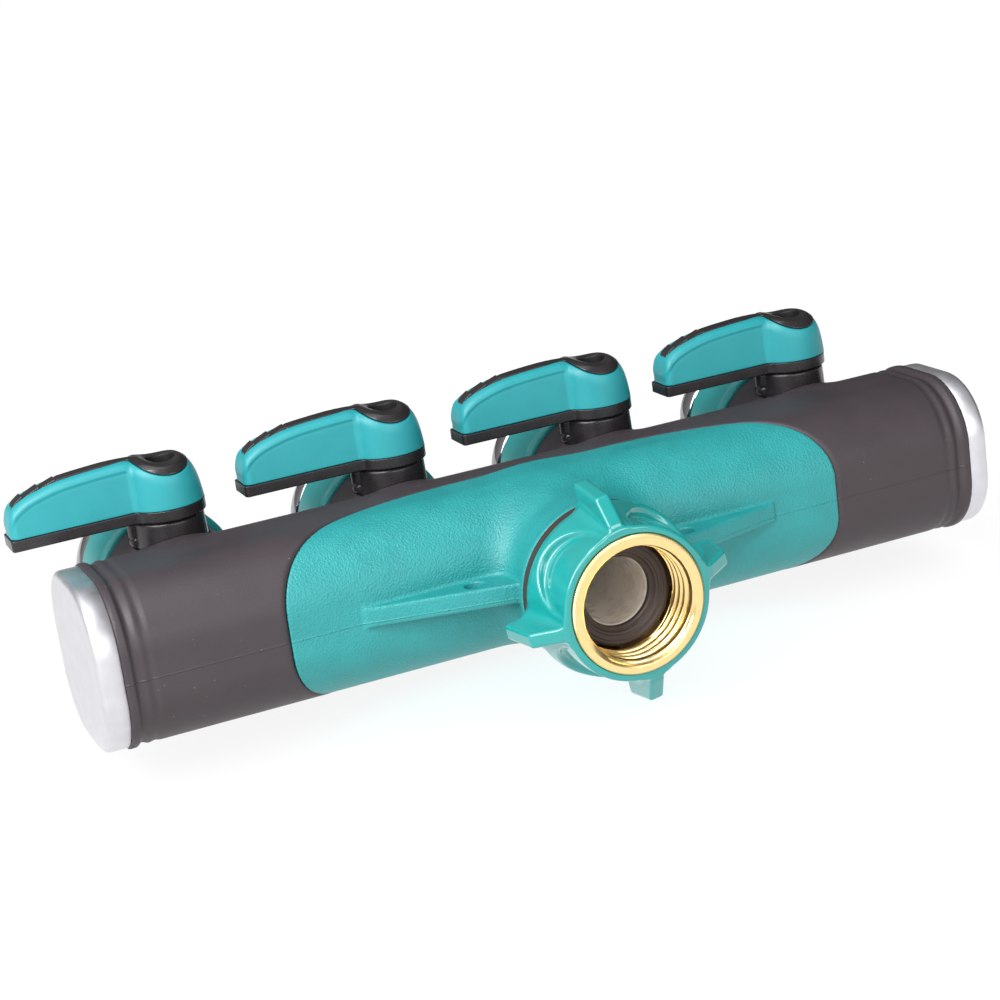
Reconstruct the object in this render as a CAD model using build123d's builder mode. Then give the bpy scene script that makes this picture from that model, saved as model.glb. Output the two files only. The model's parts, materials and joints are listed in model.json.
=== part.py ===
from build123d import *
import os
from math import cos, radians, sin

# Four-way garden hose splitter. Millimetres, +Z up.
# The origin is the centre of the inlet nut's mouth, on the inlet axis.
# X runs along the body, Y runs from the inlet to the outlets.

# ---------------------------------------------------------------- driving dimensions
OUTLET_COUNT = 4
OUTLET_PITCH = 53.3

BODY_LENGTH = 218.8          # over both end caps
BODY_DEPTH = 39.7
BODY_HEIGHT = 37.8
BODY_CORNER = 14.5
BODY_Y = 51.5                # middle of the body behind the nut's mouth
BODY_Z = 1.1
SKIN = 2.4                   # soft outer layer over the moulded core
WALL = 3.0                   # wall of the moulded core

VALVE_Y = BODY_Y + 20.3
OUTLET_Z = BODY_Z + 3.3

CAP_THICK = 5.3
CAP_WALL = 2.2
CAP_ROUND = 1.3
PLUG_THICK = 7.0
PEG_R = 3.0

THREAD_MINOR_R = 12.2        # 3/4 in garden hose thread, inside
THREAD_MAJOR_R = 13.45       # 3/4 in garden hose thread, outside

RUNNING = 0.05               # radial gap of a turning fit
CLEAR = 0.3                  # gap between pieces that move past each other
OVERCUT = 1.0                # how far a cutting tool runs past the face it cuts
OVERLAP = 1.0                # how far one solid reaches into the next, so that they join

# ---------------------------------------------------------------- worked-out places
SHELL_END = BODY_LENGTH / 2 - CAP_THICK
VALVE_XS = [(i - (OUTLET_COUNT - 1) / 2) * OUTLET_PITCH for i in range(OUTLET_COUNT)]
BODY_FRONT = BODY_Y - BODY_DEPTH / 2

# inlet nut and spud, along Y from the mouth
NUT_REAR = 16.0
INSERT_REAR = 15.7
INSERT_R = 14.7
LIP_R = 15.5
LIP_THICK = 1.1
WASHER_FRONT = 9.6
WASHER_REAR = 12.3
WASHER_R = 12.1
WASHER_HOLE_R = 7.7
RELIEF_R = 13.7
SPUD_FLANGE_FRONT = WASHER_REAR + CLEAR
SPUD_FLANGE_REAR = 13.9
SPUD_FLANGE_R = THREAD_MINOR_R - CLEAR
SHOULDER_FRONT = 14.1
SPUD_R = 10.0
SPUD_BORE_R = 7.6
SPUD_END = 40.0
NECK_RING_FRONT = NUT_REAR + CLEAR
NECK_FRONT = 18.4
NECK_RING_R = 18.9
NECK_R = 17.7
NECK_LIP_R = 19.0
INLET_BOSS_R = 15.2

# valve, stem and housing
PORT_R = 5.5
BALL_R = 8.2
BALL_PORT_R = 5.0
CHAMBER_R = 10.0
CHAMBER_FRONT = VALVE_Y - 10.2
SEAT_REAR = VALVE_Y + 10.2
BRANCH_R = 12.9
CHAMBER_WALL = 2.0
BRANCH_FRONT = CHAMBER_FRONT - CHAMBER_WALL
BRANCH_END = BODY_Y + 44.6
BOSS_R = 15.3
BOSS_END = BODY_Y + 31.6
PAD_R = 9.2
PAD_TOP = 16.4
HOUSING_R = 8.4
HOUSING_NECK_R = 6.4
HOUSING_TOP = 23.1
STOP_OUT = 9.6
STOP_HALF = 2.0
STEM_R = 4.0

# outlet
COLLAR_R = 17.0
COLLAR_END = BODY_Y + 45.2
FLANGE_R = 17.1
FLANGE_END = BODY_Y + 51.0
THREAD_END = BODY_Y + 59.5
OUTLET_BORE_R = 8.0

# lever, measured from the valve's own axis
LEVER_BOTTOM = HOUSING_TOP + CLEAR
GRIP_BOTTOM = 26.0
LEVER_REACH = 36.0
ARM_HALF = 4.6
HUB_R = 8.9
SPINE_HALF = 2.4
HUB_CORE_R = 5.5
SCREW_HEAD_R = 2.8
SCREW_SEAT = 27.6
SCREW_HEAD_TOP = 29.4
SCREW_R = 1.6
SQUARE = 5.0
SQUARE_TOP = 27.0


# ---------------------------------------------------------------- shared shapes
def bar(inset, start, end, mode=Mode.ADD):
    """Length of the body's section, pulled in by inset all round, along X from start to end."""
    with BuildSketch(Plane.YZ.offset(start)) as outline:
        with Locations((BODY_Y, BODY_Z)):
            RectangleRounded(BODY_DEPTH - 2 * inset, BODY_HEIGHT - 2 * inset, BODY_CORNER - inset)
    extrude(outline.sketch, amount=end - start, mode=mode)


def rod_y(x, z, radius, start, end, mode=Mode.ADD):
    """Round bar along Y from start to end."""
    with BuildSketch(Plane.XZ.offset(-start)) as face:
        with Locations((x, z)):
            Circle(radius)
    extrude(face.sketch, amount=start - end, mode=mode)


def rod_z(x, y, radius, bottom, top, mode=Mode.ADD):
    """Round bar along Z from bottom to top."""
    with BuildSketch(Plane.XY.offset(bottom)) as face:
        with Locations((x, y)):
            Circle(radius)
    extrude(face.sketch, amount=top - bottom, mode=mode)


def groove_y(x, z, radius, depth, start, end):
    """Square groove cut into a round bar along Y."""
    with BuildSketch(Plane.XZ.offset(-start)) as face:
        with Locations((x, z)):
            Circle(radius + OVERCUT)
            Circle(radius - depth, mode=Mode.SUBTRACT)
    extrude(face.sketch, amount=start - end, mode=Mode.SUBTRACT)


def save(part, name):
    """Label a finished piece and write it as its own file."""
    part.label = name
    export_step(part, f"parts/{name}.step")


os.makedirs("parts", exist_ok=True)

# ---------------------------------------------------------------- outline of the front cover, in plan
COVER_HALF = 69.6
COVER_NOSE = 10.0
SEAM = 0.15


def cover_plan(margin=0.0):
    """Outline of the front cover seen from above, grown by margin."""
    rear_edge = [(24.0, 0.8), (45.0, -3.2), (61.6, -12.8), (66.2, -17.0), (COVER_HALF, -20.9)]
    right = [(x + margin, BODY_Y + y + margin) for x, y in rear_edge]
    left = [(-x, y) for x, y in reversed(right)]
    nose_y = COVER_NOSE - margin
    with BuildSketch() as plan:
        with BuildLine():
            Spline(*left, *right)
            Polyline(right[-1], (right[-1][0], nose_y), (left[0][0], nose_y), left[0])
        make_face()
    return plan.sketch


with BuildPart() as cover_cutter:
    extrude(cover_plan(), amount=BODY_HEIGHT, both=True)

with BuildPart() as skin_cutter:
    extrude(cover_plan(SEAM), amount=BODY_HEIGHT, both=True)

# ---------------------------------------------------------------- moulded core
with BuildPart() as core_outer:
    bar(SKIN, -SHELL_END, SHELL_END)
    rod_y(0, 0, INLET_BOSS_R, NECK_FRONT, BODY_Y)
    for x in VALVE_XS:
        rod_y(x, OUTLET_Z, BRANCH_R, BODY_Y, BRANCH_END)
        rod_z(x, VALVE_Y, PAD_R, OUTLET_Z, PAD_TOP)

with BuildPart() as manifold_core:
    add(core_outer.part)
    bar(SKIN + WALL, -SHELL_END, SHELL_END, mode=Mode.SUBTRACT)
    for x in VALVE_XS:
        rod_y(x, OUTLET_Z, BRANCH_R, BRANCH_FRONT, BRANCH_END)
        rod_y(x, OUTLET_Z, CHAMBER_R, CHAMBER_FRONT, BRANCH_END, mode=Mode.SUBTRACT)
        rod_y(x, OUTLET_Z, PORT_R, BRANCH_FRONT, CHAMBER_FRONT, mode=Mode.SUBTRACT)
        rod_z(x, VALVE_Y, HOUSING_NECK_R, OUTLET_Z, PAD_TOP, mode=Mode.SUBTRACT)
        rod_z(x, VALVE_Y, HOUSING_R, PAD_TOP, HOUSING_TOP, mode=Mode.SUBTRACT)
    rod_y(0, 0, SPUD_R, NECK_FRONT, SPUD_END, mode=Mode.SUBTRACT)
save(manifold_core.part, "manifold_core")

# ---------------------------------------------------------------- soft skin with its end beads
BEAD_WIDTH = 2.3
BEAD_PROUD = 0.3
GROOVE_WIDTH = 0.8
GROOVE_DEPTH = 0.5
SECOND_GROOVE = 5.2          # inboard of the cap joint

with BuildPart() as body_skin:
    bar(0, -SHELL_END, SHELL_END)
    for side in (-1, 1):
        bar(-BEAD_PROUD, side * (SHELL_END - BEAD_WIDTH), side * SHELL_END)
    for side in (-1, 1):
        for inboard in (BEAD_WIDTH, SECOND_GROOVE):
            start = side * (SHELL_END - inboard)
            end = start - side * GROOVE_WIDTH
            bar(-BEAD_PROUD - OVERCUT, start, end, mode=Mode.SUBTRACT)
            bar(GROOVE_DEPTH, start, end)
    for x in VALVE_XS:
        rod_y(x, OUTLET_Z, BOSS_R, BODY_Y, BOSS_END)
    add(core_outer.part, mode=Mode.SUBTRACT)
    for x in VALVE_XS:
        rod_z(x, VALVE_Y, HOUSING_R, OUTLET_Z, HOUSING_TOP, mode=Mode.SUBTRACT)
        with BuildSketch(Plane.XY.offset(PAD_TOP)) as stop_slot:
            with Locations((x - STOP_OUT / 2, VALVE_Y)):
                Rectangle(STOP_OUT, 2 * STOP_HALF)
        extrude(stop_slot.sketch, amount=HOUSING_TOP - PAD_TOP, mode=Mode.SUBTRACT)
    add(skin_cutter.part, mode=Mode.SUBTRACT)
save(body_skin.part, "body_skin")

# ---------------------------------------------------------------- front cover with neck and ribs
RIB_TIP = 50.5
RIB_ROOT = 17.0
RIB_ROOT_Y = BODY_Y - 29.6
RIB_BOTTOM = -1.0
RIB_TOP = 3.6
RIB_HOLE_X = 25.7
RIB_HOLE_Y = BODY_Y - 23.2
RIB_HOLE_R = 2.3
FLARE = 5.0
NECK_LIP = 2.2

with BuildPart() as neck:
    with BuildSketch() as neck_half:
        with BuildLine():
            Polyline(
                (NECK_R + FLARE, BODY_Y),
                (0, BODY_Y),
                (0, NECK_FRONT),
                (NECK_LIP_R, NECK_FRONT),
                (NECK_LIP_R, NECK_FRONT + NECK_LIP),
                (NECK_R, NECK_FRONT + NECK_LIP + NECK_LIP_R - NECK_R),
                (NECK_R, BODY_FRONT - FLARE),
            )
            RadiusArc((NECK_R, BODY_FRONT - FLARE), (NECK_R + FLARE, BODY_FRONT), FLARE)
            Line((NECK_R + FLARE, BODY_FRONT), (NECK_R + FLARE, BODY_Y))
        make_face()
    revolve(axis=Axis.Y)
    with BuildSketch(Plane.XZ.offset(-NECK_FRONT)):
        with Locations((0, BODY_Z)):
            RectangleRounded(2 * (NECK_R + FLARE), BODY_HEIGHT, BODY_CORNER)
    extrude(amount=NECK_FRONT - BODY_Y, mode=Mode.INTERSECT)

with BuildPart() as front_cover:
    bar(0, -COVER_HALF, COVER_HALF)
    add(cover_cutter.part, mode=Mode.INTERSECT)
    add(neck.part)
    for side in (-1, 1):
        with BuildSketch(Plane.XY.offset(RIB_BOTTOM)) as rib:
            with BuildLine():
                Polyline(
                    (side * RIB_TIP, BODY_FRONT),
                    (side * RIB_ROOT, RIB_ROOT_Y),
                    (side * RIB_ROOT, BODY_Y),
                    (side * RIB_TIP, BODY_Y),
                    close=True,
                )
            make_face()
        extrude(rib.sketch, amount=RIB_TOP - RIB_BOTTOM)
    for side in (-1, 1):
        rod_z(side * RIB_HOLE_X, RIB_HOLE_Y, RIB_HOLE_R, RIB_BOTTOM, RIB_TOP, mode=Mode.SUBTRACT)
    add(core_outer.part, mode=Mode.SUBTRACT)
save(front_cover.part, "front_cover")

# ---------------------------------------------------------------- end plugs, their seals and the caps
PLUG_OUTER = SHELL_END
PLUG_INNER = SHELL_END - PLUG_THICK
SEAL_INNER = PLUG_INNER + 2.5
SEAL_WIDTH = 2.0
SEAL_DEPTH = 1.5
SOCKET_FLOOR = 2.0           # plug left behind the peg's socket
PEG_START = PLUG_INNER + SOCKET_FLOOR + 0.5
CAP_INSET = 0.1

for side, hand in ((-1, "left"), (1, "right")):
    with BuildPart() as end_plug:
        bar(SKIN + WALL, side * PLUG_INNER, side * PLUG_OUTER)
        seal_start = side * SEAL_INNER
        seal_end = side * (SEAL_INNER + SEAL_WIDTH)
        bar(SKIN + WALL - OVERCUT, seal_start, seal_end, mode=Mode.SUBTRACT)
        bar(SKIN + WALL + SEAL_DEPTH, seal_start, seal_end)
        with BuildSketch(Plane.YZ.offset(side * PLUG_OUTER)) as socket:
            with Locations((BODY_Y, BODY_Z)):
                Circle(PEG_R)
        extrude(socket.sketch, amount=-side * (PLUG_THICK - SOCKET_FLOOR), mode=Mode.SUBTRACT)
    save(end_plug.part, f"end_plug_{hand}")

    with BuildPart() as end_cap:
        bar(CAP_INSET, side * SHELL_END, side * BODY_LENGTH / 2)
        fillet(end_cap.faces().sort_by(Axis.X)[-1 if side > 0 else 0].edges(), radius=CAP_ROUND)
        bar(CAP_WALL, side * SHELL_END, side * (BODY_LENGTH / 2 - CAP_WALL), mode=Mode.SUBTRACT)
        with BuildSketch(Plane.YZ.offset(side * PEG_START)) as peg:
            with Locations((BODY_Y, BODY_Z)):
                Circle(PEG_R)
        extrude(peg.sketch, amount=side * (BODY_LENGTH / 2 - CAP_WALL - PEG_START))
    save(end_cap.part, f"end_cap_{hand}")

with BuildPart() as plug_seals:
    for side in (-1, 1):
        seal_start = side * SEAL_INNER
        seal_end = side * (SEAL_INNER + SEAL_WIDTH)
        bar(SKIN + WALL, seal_start, seal_end)
    for side in (-1, 1):
        seal_start = side * (SEAL_INNER - OVERCUT)
        seal_end = side * (SEAL_INNER + SEAL_WIDTH + OVERCUT)
        bar(SKIN + WALL + SEAL_DEPTH, seal_start, seal_end, mode=Mode.SUBTRACT)
save(plug_seals.part, "plug_seals")

# ---------------------------------------------------------------- inlet spud, its ring and the neck ring
SPUD_RING_Y = 26.0
SPUD_RING_THICK = 0.75       # half the ring's own thickness

with BuildPart() as inlet_spud:
    rod_y(0, 0, SPUD_R, SPUD_FLANGE_FRONT, SPUD_END)
    rod_y(0, 0, SPUD_FLANGE_R, SPUD_FLANGE_FRONT, SPUD_FLANGE_REAR)
    rod_y(0, 0, SPUD_BORE_R, SPUD_FLANGE_FRONT, SPUD_END, mode=Mode.SUBTRACT)
    ring_front = SPUD_RING_Y - SPUD_RING_THICK
    ring_rear = SPUD_RING_Y + SPUD_RING_THICK
    groove_y(0, 0, SPUD_R, 2 * SPUD_RING_THICK, ring_front, ring_rear)
save(inlet_spud.part, "inlet_spud")

with BuildPart() as spud_ring:
    with BuildSketch() as ring_section:
        with Locations((SPUD_R - SPUD_RING_THICK, SPUD_RING_Y)):
            Circle(SPUD_RING_THICK)
    revolve(axis=Axis.Y)
save(spud_ring.part, "spud_ring")

with BuildPart() as neck_ring:
    rod_y(0, 0, NECK_RING_R, NECK_RING_FRONT, NECK_FRONT)
    rod_y(0, 0, SPUD_R, NECK_RING_FRONT, NECK_FRONT, mode=Mode.SUBTRACT)
save(neck_ring.part, "neck_ring")

# ---------------------------------------------------------------- swivel nut: brass insert, grip and washer
with BuildPart() as nut_insert:
    with BuildSketch() as insert_half:
        with BuildLine():
            Polyline(
                (THREAD_MINOR_R, 0),
                (LIP_R, 0),
                (LIP_R, LIP_THICK),
                (INSERT_R, LIP_THICK),
                (INSERT_R, INSERT_REAR),
                (SPUD_R + RUNNING, INSERT_REAR),
                (SPUD_R + RUNNING, SHOULDER_FRONT),
                (THREAD_MINOR_R, SHOULDER_FRONT),
                (THREAD_MINOR_R, WASHER_REAR),
                (RELIEF_R, WASHER_REAR),
                (RELIEF_R, WASHER_FRONT),
                (THREAD_MINOR_R, WASHER_FRONT),
                close=True,
            )
        make_face()
    revolve(axis=Axis.Y)
save(nut_insert.part, "nut_insert")

WASHER_STEPS = ((10.7, 0.4), (9.4, 0.8))     # radius of each step and its depth behind the front
TAB_COUNT = 4
TAB_ANGLE = 20
TAB_WIDTH = 2.4
TAB_R = 13.4

with BuildPart() as inlet_washer:
    rod_y(0, 0, WASHER_R, WASHER_FRONT, WASHER_REAR)
    with BuildSketch(Plane.XZ.offset(-WASHER_FRONT)) as tabs:
        with PolarLocations(0, TAB_COUNT, start_angle=TAB_ANGLE):
            with Locations((TAB_R / 2, 0)):
                Rectangle(TAB_R, TAB_WIDTH)
    extrude(tabs.sketch, amount=WASHER_FRONT - WASHER_REAR)
    for radius, depth in WASHER_STEPS:
        rod_y(0, 0, radius, WASHER_FRONT, WASHER_FRONT + depth, mode=Mode.SUBTRACT)
    rod_y(0, 0, WASHER_HOLE_R, WASHER_FRONT, WASHER_REAR, mode=Mode.SUBTRACT)
save(inlet_washer.part, "inlet_washer")

NUT_FRONT = 0.35
RIM_R = 17.4
RIM_ROUND = 0.5
RIM_LENGTH = 1.6
SKIRT_R = 19.6
SKIRT_START = 13.6
SKIRT_END_R = 19.1
SCOOP_R = 17.35
SCOOP_HALF = 9.2
SCOOP_STRAIGHT = 3.2
SCOOP_OVERLAP = 4.5
LUG_COUNT = 4
LUG_ANGLE = 8.6
LUG_HALF = 1.5
LUG_REAR_Y = 15.4
LUG_REAR_R = 25.5
LUG_FRONT_Y = 4.6
LUG_FRONT_R = 24.0
LUG_FOOT_R = 17.9
LUG_FOOT_Y = 1.2


def radial_plane(angle, distance=0.0):
    """Plane square to the radius at this angle, with its local Y along the nut's axis."""
    out = (cos(radians(angle)), 0, sin(radians(angle)))
    across = (-sin(radians(angle)), 0, cos(radians(angle)))
    origin = tuple(distance * c for c in out)
    return Plane(origin=origin, x_dir=across, z_dir=tuple(-c for c in out))


def lug_plane(angle):
    """Plane through the nut's axis, with local X along the radius and local Y along the axis."""
    out = (cos(radians(angle)), 0, sin(radians(angle)))
    across = (-sin(radians(angle)), 0, cos(radians(angle)))
    return Plane(origin=(0, 0, 0), x_dir=out, z_dir=across)


lug_angles = [LUG_ANGLE + i * 360 / LUG_COUNT for i in range(LUG_COUNT)]

with BuildPart() as nut_grip:
    with BuildSketch() as grip_half:
        with BuildLine():
            Polyline(
                (INSERT_R, NUT_REAR),
                (INSERT_R, LIP_THICK),
                (LIP_R, LIP_THICK),
                (LIP_R, NUT_FRONT),
                (RIM_R - RIM_ROUND, NUT_FRONT),
            )
            RadiusArc((RIM_R - RIM_ROUND, NUT_FRONT), (RIM_R, NUT_FRONT + RIM_ROUND), -RIM_ROUND)
            Polyline(
                (RIM_R, NUT_FRONT + RIM_ROUND),
                (RIM_R, RIM_LENGTH),
                (SKIRT_R, SKIRT_START),
                (SKIRT_END_R, NUT_REAR),
                (INSERT_R, NUT_REAR),
            )
        make_face()
    revolve(axis=Axis.Y)
    for angle in lug_angles:
        with BuildSketch(radial_plane(angle + 180 / LUG_COUNT, SCOOP_R - SCOOP_OVERLAP)) as scoop:
            with Locations((0, SCOOP_STRAIGHT / 2)):
                Rectangle(2 * SCOOP_HALF, SCOOP_STRAIGHT)
            with Locations((0, SCOOP_STRAIGHT)):
                Circle(SCOOP_HALF)
        extrude(scoop.sketch, amount=-2 * SCOOP_OVERLAP, mode=Mode.SUBTRACT)
    rod_y(0, 0, SCOOP_R, NUT_FRONT + OVERLAP, NUT_REAR)
    rod_y(0, 0, INSERT_R, NUT_FRONT, NUT_REAR, mode=Mode.SUBTRACT)
    for angle in lug_angles:
        with BuildSketch(lug_plane(angle)) as lug:
            with BuildLine():
                Polyline(
                    (INSERT_R + OVERLAP, LUG_REAR_Y),
                    (LUG_REAR_R, LUG_REAR_Y),
                    (LUG_FRONT_R, LUG_FRONT_Y),
                    (LUG_FOOT_R, LUG_FOOT_Y),
                    (INSERT_R + OVERLAP, LUG_FOOT_Y),
                    close=True,
                )
            make_face()
        extrude(lug.sketch, amount=LUG_HALF, both=True)
save(nut_grip.part, "nut_grip")

# ---------------------------------------------------------------- outlets, numbered from left to right
COLLAR_CHAMFER = 1.0
FLANGE_ROUND = 0.7
THREAD_CHAMFER = 1.0
TAIL_RING_Y = 90.0
TAIL_RING_THICK = 0.6        # half the ring's own thickness
SEAT_R = 9.9
SEAT_REACH = 4.9
SEAT_GAP = 0.05

for number, x in enumerate(VALVE_XS, start=1):
    with BuildPart() as outlet_collar:
        rod_y(x, OUTLET_Z, COLLAR_R, BOSS_END, COLLAR_END)
        chamfer(outlet_collar.edges().sort_by(Axis.Y)[0], length=COLLAR_CHAMFER)
        rod_y(x, OUTLET_Z, BRANCH_R, BOSS_END, COLLAR_END, mode=Mode.SUBTRACT)
    save(outlet_collar.part, f"outlet_collar_{number}")

    with BuildPart() as outlet_fitting:
        rod_y(x, OUTLET_Z, FLANGE_R, COLLAR_END, FLANGE_END)
        fillet(outlet_fitting.edges().filter_by(GeomType.CIRCLE), radius=FLANGE_ROUND)
        rod_y(x, OUTLET_Z, THREAD_MAJOR_R, FLANGE_END - OVERLAP, THREAD_END)
        chamfer(outlet_fitting.faces().sort_by(Axis.Y)[-1].edges(), length=THREAD_CHAMFER)
        rod_y(x, OUTLET_Z, CHAMBER_R, SEAT_REAR, COLLAR_END + OVERLAP)
        rod_y(x, OUTLET_Z, BRANCH_R, BRANCH_END, COLLAR_END)
        rod_y(x, OUTLET_Z, OUTLET_BORE_R, SEAT_REAR, THREAD_END, mode=Mode.SUBTRACT)
        ring_front = TAIL_RING_Y - TAIL_RING_THICK
        ring_rear = TAIL_RING_Y + TAIL_RING_THICK
        groove_y(x, OUTLET_Z, CHAMBER_R, 2 * TAIL_RING_THICK, ring_front, ring_rear)
    save(outlet_fitting.part, f"outlet_fitting_{number}")

    with BuildPart() as valve_seats:
        for near, far in ((CHAMBER_FRONT, VALVE_Y - SEAT_REACH), (VALVE_Y + SEAT_REACH, SEAT_REAR)):
            rod_y(x, OUTLET_Z, SEAT_R, near, far)
            rod_y(x, OUTLET_Z, PORT_R, near, far, mode=Mode.SUBTRACT)
        with Locations((x, VALVE_Y, OUTLET_Z)):
            Sphere(BALL_R + SEAT_GAP, mode=Mode.SUBTRACT)
    save(valve_seats.part, f"valve_seats_{number}")

with BuildPart() as outlet_rings:
    with Locations(*[(x, TAIL_RING_Y, OUTLET_Z) for x in VALVE_XS]):
        Torus(CHAMBER_R - TAIL_RING_THICK, TAIL_RING_THICK, rotation=(90, 0, 0))
save(outlet_rings.part, "outlet_rings")

# ---------------------------------------------------------------- stem housings
HOUSING_BOTTOM = 14.4
HOUSING_ROUND = 0.5
STOP_NOTCH_Z = 19.6
STOP_NOTCH = 0.4
STOP_NOTCH_DEPTH = 0.5

for number, x in enumerate(VALVE_XS, start=1):
    with BuildPart() as stem_housing:
        rod_z(x, VALVE_Y, HOUSING_R, PAD_TOP, HOUSING_TOP)
        fillet(stem_housing.faces().sort_by(Axis.Z)[-1].edges(), radius=HOUSING_ROUND)
        rod_z(x, VALVE_Y, HOUSING_NECK_R, HOUSING_BOTTOM, PAD_TOP)
        with BuildSketch(Plane.XY.offset(PAD_TOP)) as stop:
            with Locations((x - STOP_OUT / 2, VALVE_Y)):
                Rectangle(STOP_OUT, 2 * STOP_HALF)
        extrude(stop.sketch, amount=HOUSING_TOP - PAD_TOP)
        with Locations((x - STOP_OUT, VALVE_Y, STOP_NOTCH_Z)):
            Box(2 * STOP_NOTCH_DEPTH, 2 * STOP_HALF, STOP_NOTCH, mode=Mode.SUBTRACT)
        rod_z(x, VALVE_Y, STEM_R + RUNNING, HOUSING_BOTTOM, HOUSING_TOP, mode=Mode.SUBTRACT)
    save(stem_housing.part, f"stem_housing_{number}")

# ---------------------------------------------------------------- lever, drawn about its own axis
TOP_EDGE = 31.0              # height where the lever's upright sides end
TIP_ROUND = 3.6
ROOT_ROUND = 2.0
BLOCK_HEIGHT = 15.0          # taller than the lever, which its side profile then trims
SPINE_START = -33.6
SADDLE_X = 3.0
SADDLE_Z = 44.0
SADDLE_R = 10.3
SCREW_BOTTOM = 17.0
STEM_BOTTOM = 12.9
STEM_FLANGE_R = 4.6
STEM_FLANGE_TOP = 13.7
TANG_BOTTOM = 11.2
TANG_HALF = 1.2
TANG_LENGTH = 8.0
STEM_RING_Z = 18.6
STEM_RING_THICK = 0.45
SCREW_HEAD_ROUND = 0.6
SCREW_HEAD_GAP = 0.2
DRIVE_LENGTH = 2.0           # half the cross drive's length
DRIVE_HALF = 0.5
DRIVE_DEPTH = 1.2

with BuildPart() as lever_block:
    with BuildSketch(Plane.XY.offset(GRIP_BOTTOM)) as lever_plan:
        with Locations((-LEVER_REACH / 2, 0)):
            RectangleRounded(LEVER_REACH, 2 * ARM_HALF, TIP_ROUND)
        Circle(HUB_R)
        fillet([v for v in lever_plan.vertices() if -HUB_R < v.X < -ARM_HALF], radius=ROOT_ROUND)
    extrude(lever_plan.sketch, amount=BLOCK_HEIGHT)
    with BuildSketch(Plane.XZ) as lever_side:
        with BuildLine():
            tip_edge = (-LEVER_REACH - OVERCUT, TOP_EDGE)
            hub_edge = (HUB_R + OVERCUT, TOP_EDGE)
            Spline(
                tip_edge,
                (-34.3, 33.4),
                (-30.6, 35.5),
                (-18.5, 37.7),
                (-9.0, 38.0),
                (-4.0, 37.3),
                (3.4, 36.8),
                (7.0, 34.8),
                hub_edge,
            )
            Polyline(hub_edge, (hub_edge[0], GRIP_BOTTOM), (tip_edge[0], GRIP_BOTTOM), tip_edge)
        make_face()
    extrude(lever_side.sketch, amount=HUB_R + OVERCUT, both=True, mode=Mode.INTERSECT)

with BuildPart() as core_upper:
    with BuildSketch(Plane.XY.offset(GRIP_BOTTOM)) as core_plan:
        with Locations((SPINE_START / 2, 0)):
            SlotOverall(-SPINE_START, 2 * SPINE_HALF)
        Circle(HUB_CORE_R)
    extrude(core_plan.sketch, amount=BLOCK_HEIGHT)
    with BuildSketch(Plane.XZ) as saddle:
        with Locations((SADDLE_X, SADDLE_Z)):
            Circle(SADDLE_R)
    extrude(saddle.sketch, amount=HUB_R + OVERCUT, both=True)
    add(lever_block.part, mode=Mode.INTERSECT)

with BuildPart() as grip_shape:
    add(lever_block.part)
    add(core_upper.part, mode=Mode.SUBTRACT)

with BuildPart() as core_shape:
    extrude(lever_plan.sketch, amount=LEVER_BOTTOM - GRIP_BOTTOM)
    add(core_upper.part)
    rod_z(0, 0, SCREW_HEAD_R + SCREW_HEAD_GAP, SCREW_SEAT, GRIP_BOTTOM + BLOCK_HEIGHT, mode=Mode.SUBTRACT)
    rod_z(0, 0, SCREW_R, LEVER_BOTTOM, SCREW_SEAT, mode=Mode.SUBTRACT)
    with BuildSketch(Plane.XY.offset(LEVER_BOTTOM)) as socket:
        Rectangle(SQUARE, SQUARE)
    extrude(socket.sketch, amount=SQUARE_TOP - LEVER_BOTTOM, mode=Mode.SUBTRACT)

with BuildPart() as screw_shape:
    rod_z(0, 0, SCREW_HEAD_R, SCREW_SEAT, SCREW_HEAD_TOP)
    fillet(screw_shape.faces().sort_by(Axis.Z)[-1].edges(), radius=SCREW_HEAD_ROUND)
    rod_z(0, 0, SCREW_R, SCREW_BOTTOM, SCREW_SEAT)
    with BuildSketch(Plane.XY.offset(SCREW_HEAD_TOP)) as drive:
        Rectangle(2 * DRIVE_LENGTH, 2 * DRIVE_HALF)
        Rectangle(2 * DRIVE_HALF, 2 * DRIVE_LENGTH)
    extrude(drive.sketch, amount=-DRIVE_DEPTH, mode=Mode.SUBTRACT)

with BuildPart() as stem_shape:
    rod_z(0, 0, STEM_FLANGE_R, STEM_BOTTOM, STEM_FLANGE_TOP)
    rod_z(0, 0, STEM_R, STEM_FLANGE_TOP, LEVER_BOTTOM)
    with BuildSketch(Plane.XY.offset(LEVER_BOTTOM)) as square:
        Rectangle(SQUARE, SQUARE)
    extrude(square.sketch, amount=SQUARE_TOP - LEVER_BOTTOM)
    with BuildSketch(Plane.XY.offset(STEM_BOTTOM)) as tang:
        Rectangle(TANG_LENGTH, 2 * TANG_HALF)
    extrude(tang.sketch, amount=TANG_BOTTOM - STEM_BOTTOM)
    rod_z(0, 0, SCREW_R, SCREW_BOTTOM, SQUARE_TOP, mode=Mode.SUBTRACT)
    with BuildSketch(Plane.XY.offset(STEM_RING_Z - STEM_RING_THICK)) as ring_groove:
        Circle(STEM_R + OVERCUT)
        Circle(STEM_R - 2 * STEM_RING_THICK, mode=Mode.SUBTRACT)
    extrude(ring_groove.sketch, amount=2 * STEM_RING_THICK, mode=Mode.SUBTRACT)

with BuildPart() as ring_shape:
    with Locations((0, 0, STEM_RING_Z)):
        Torus(STEM_R - STEM_RING_THICK, STEM_RING_THICK)

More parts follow.
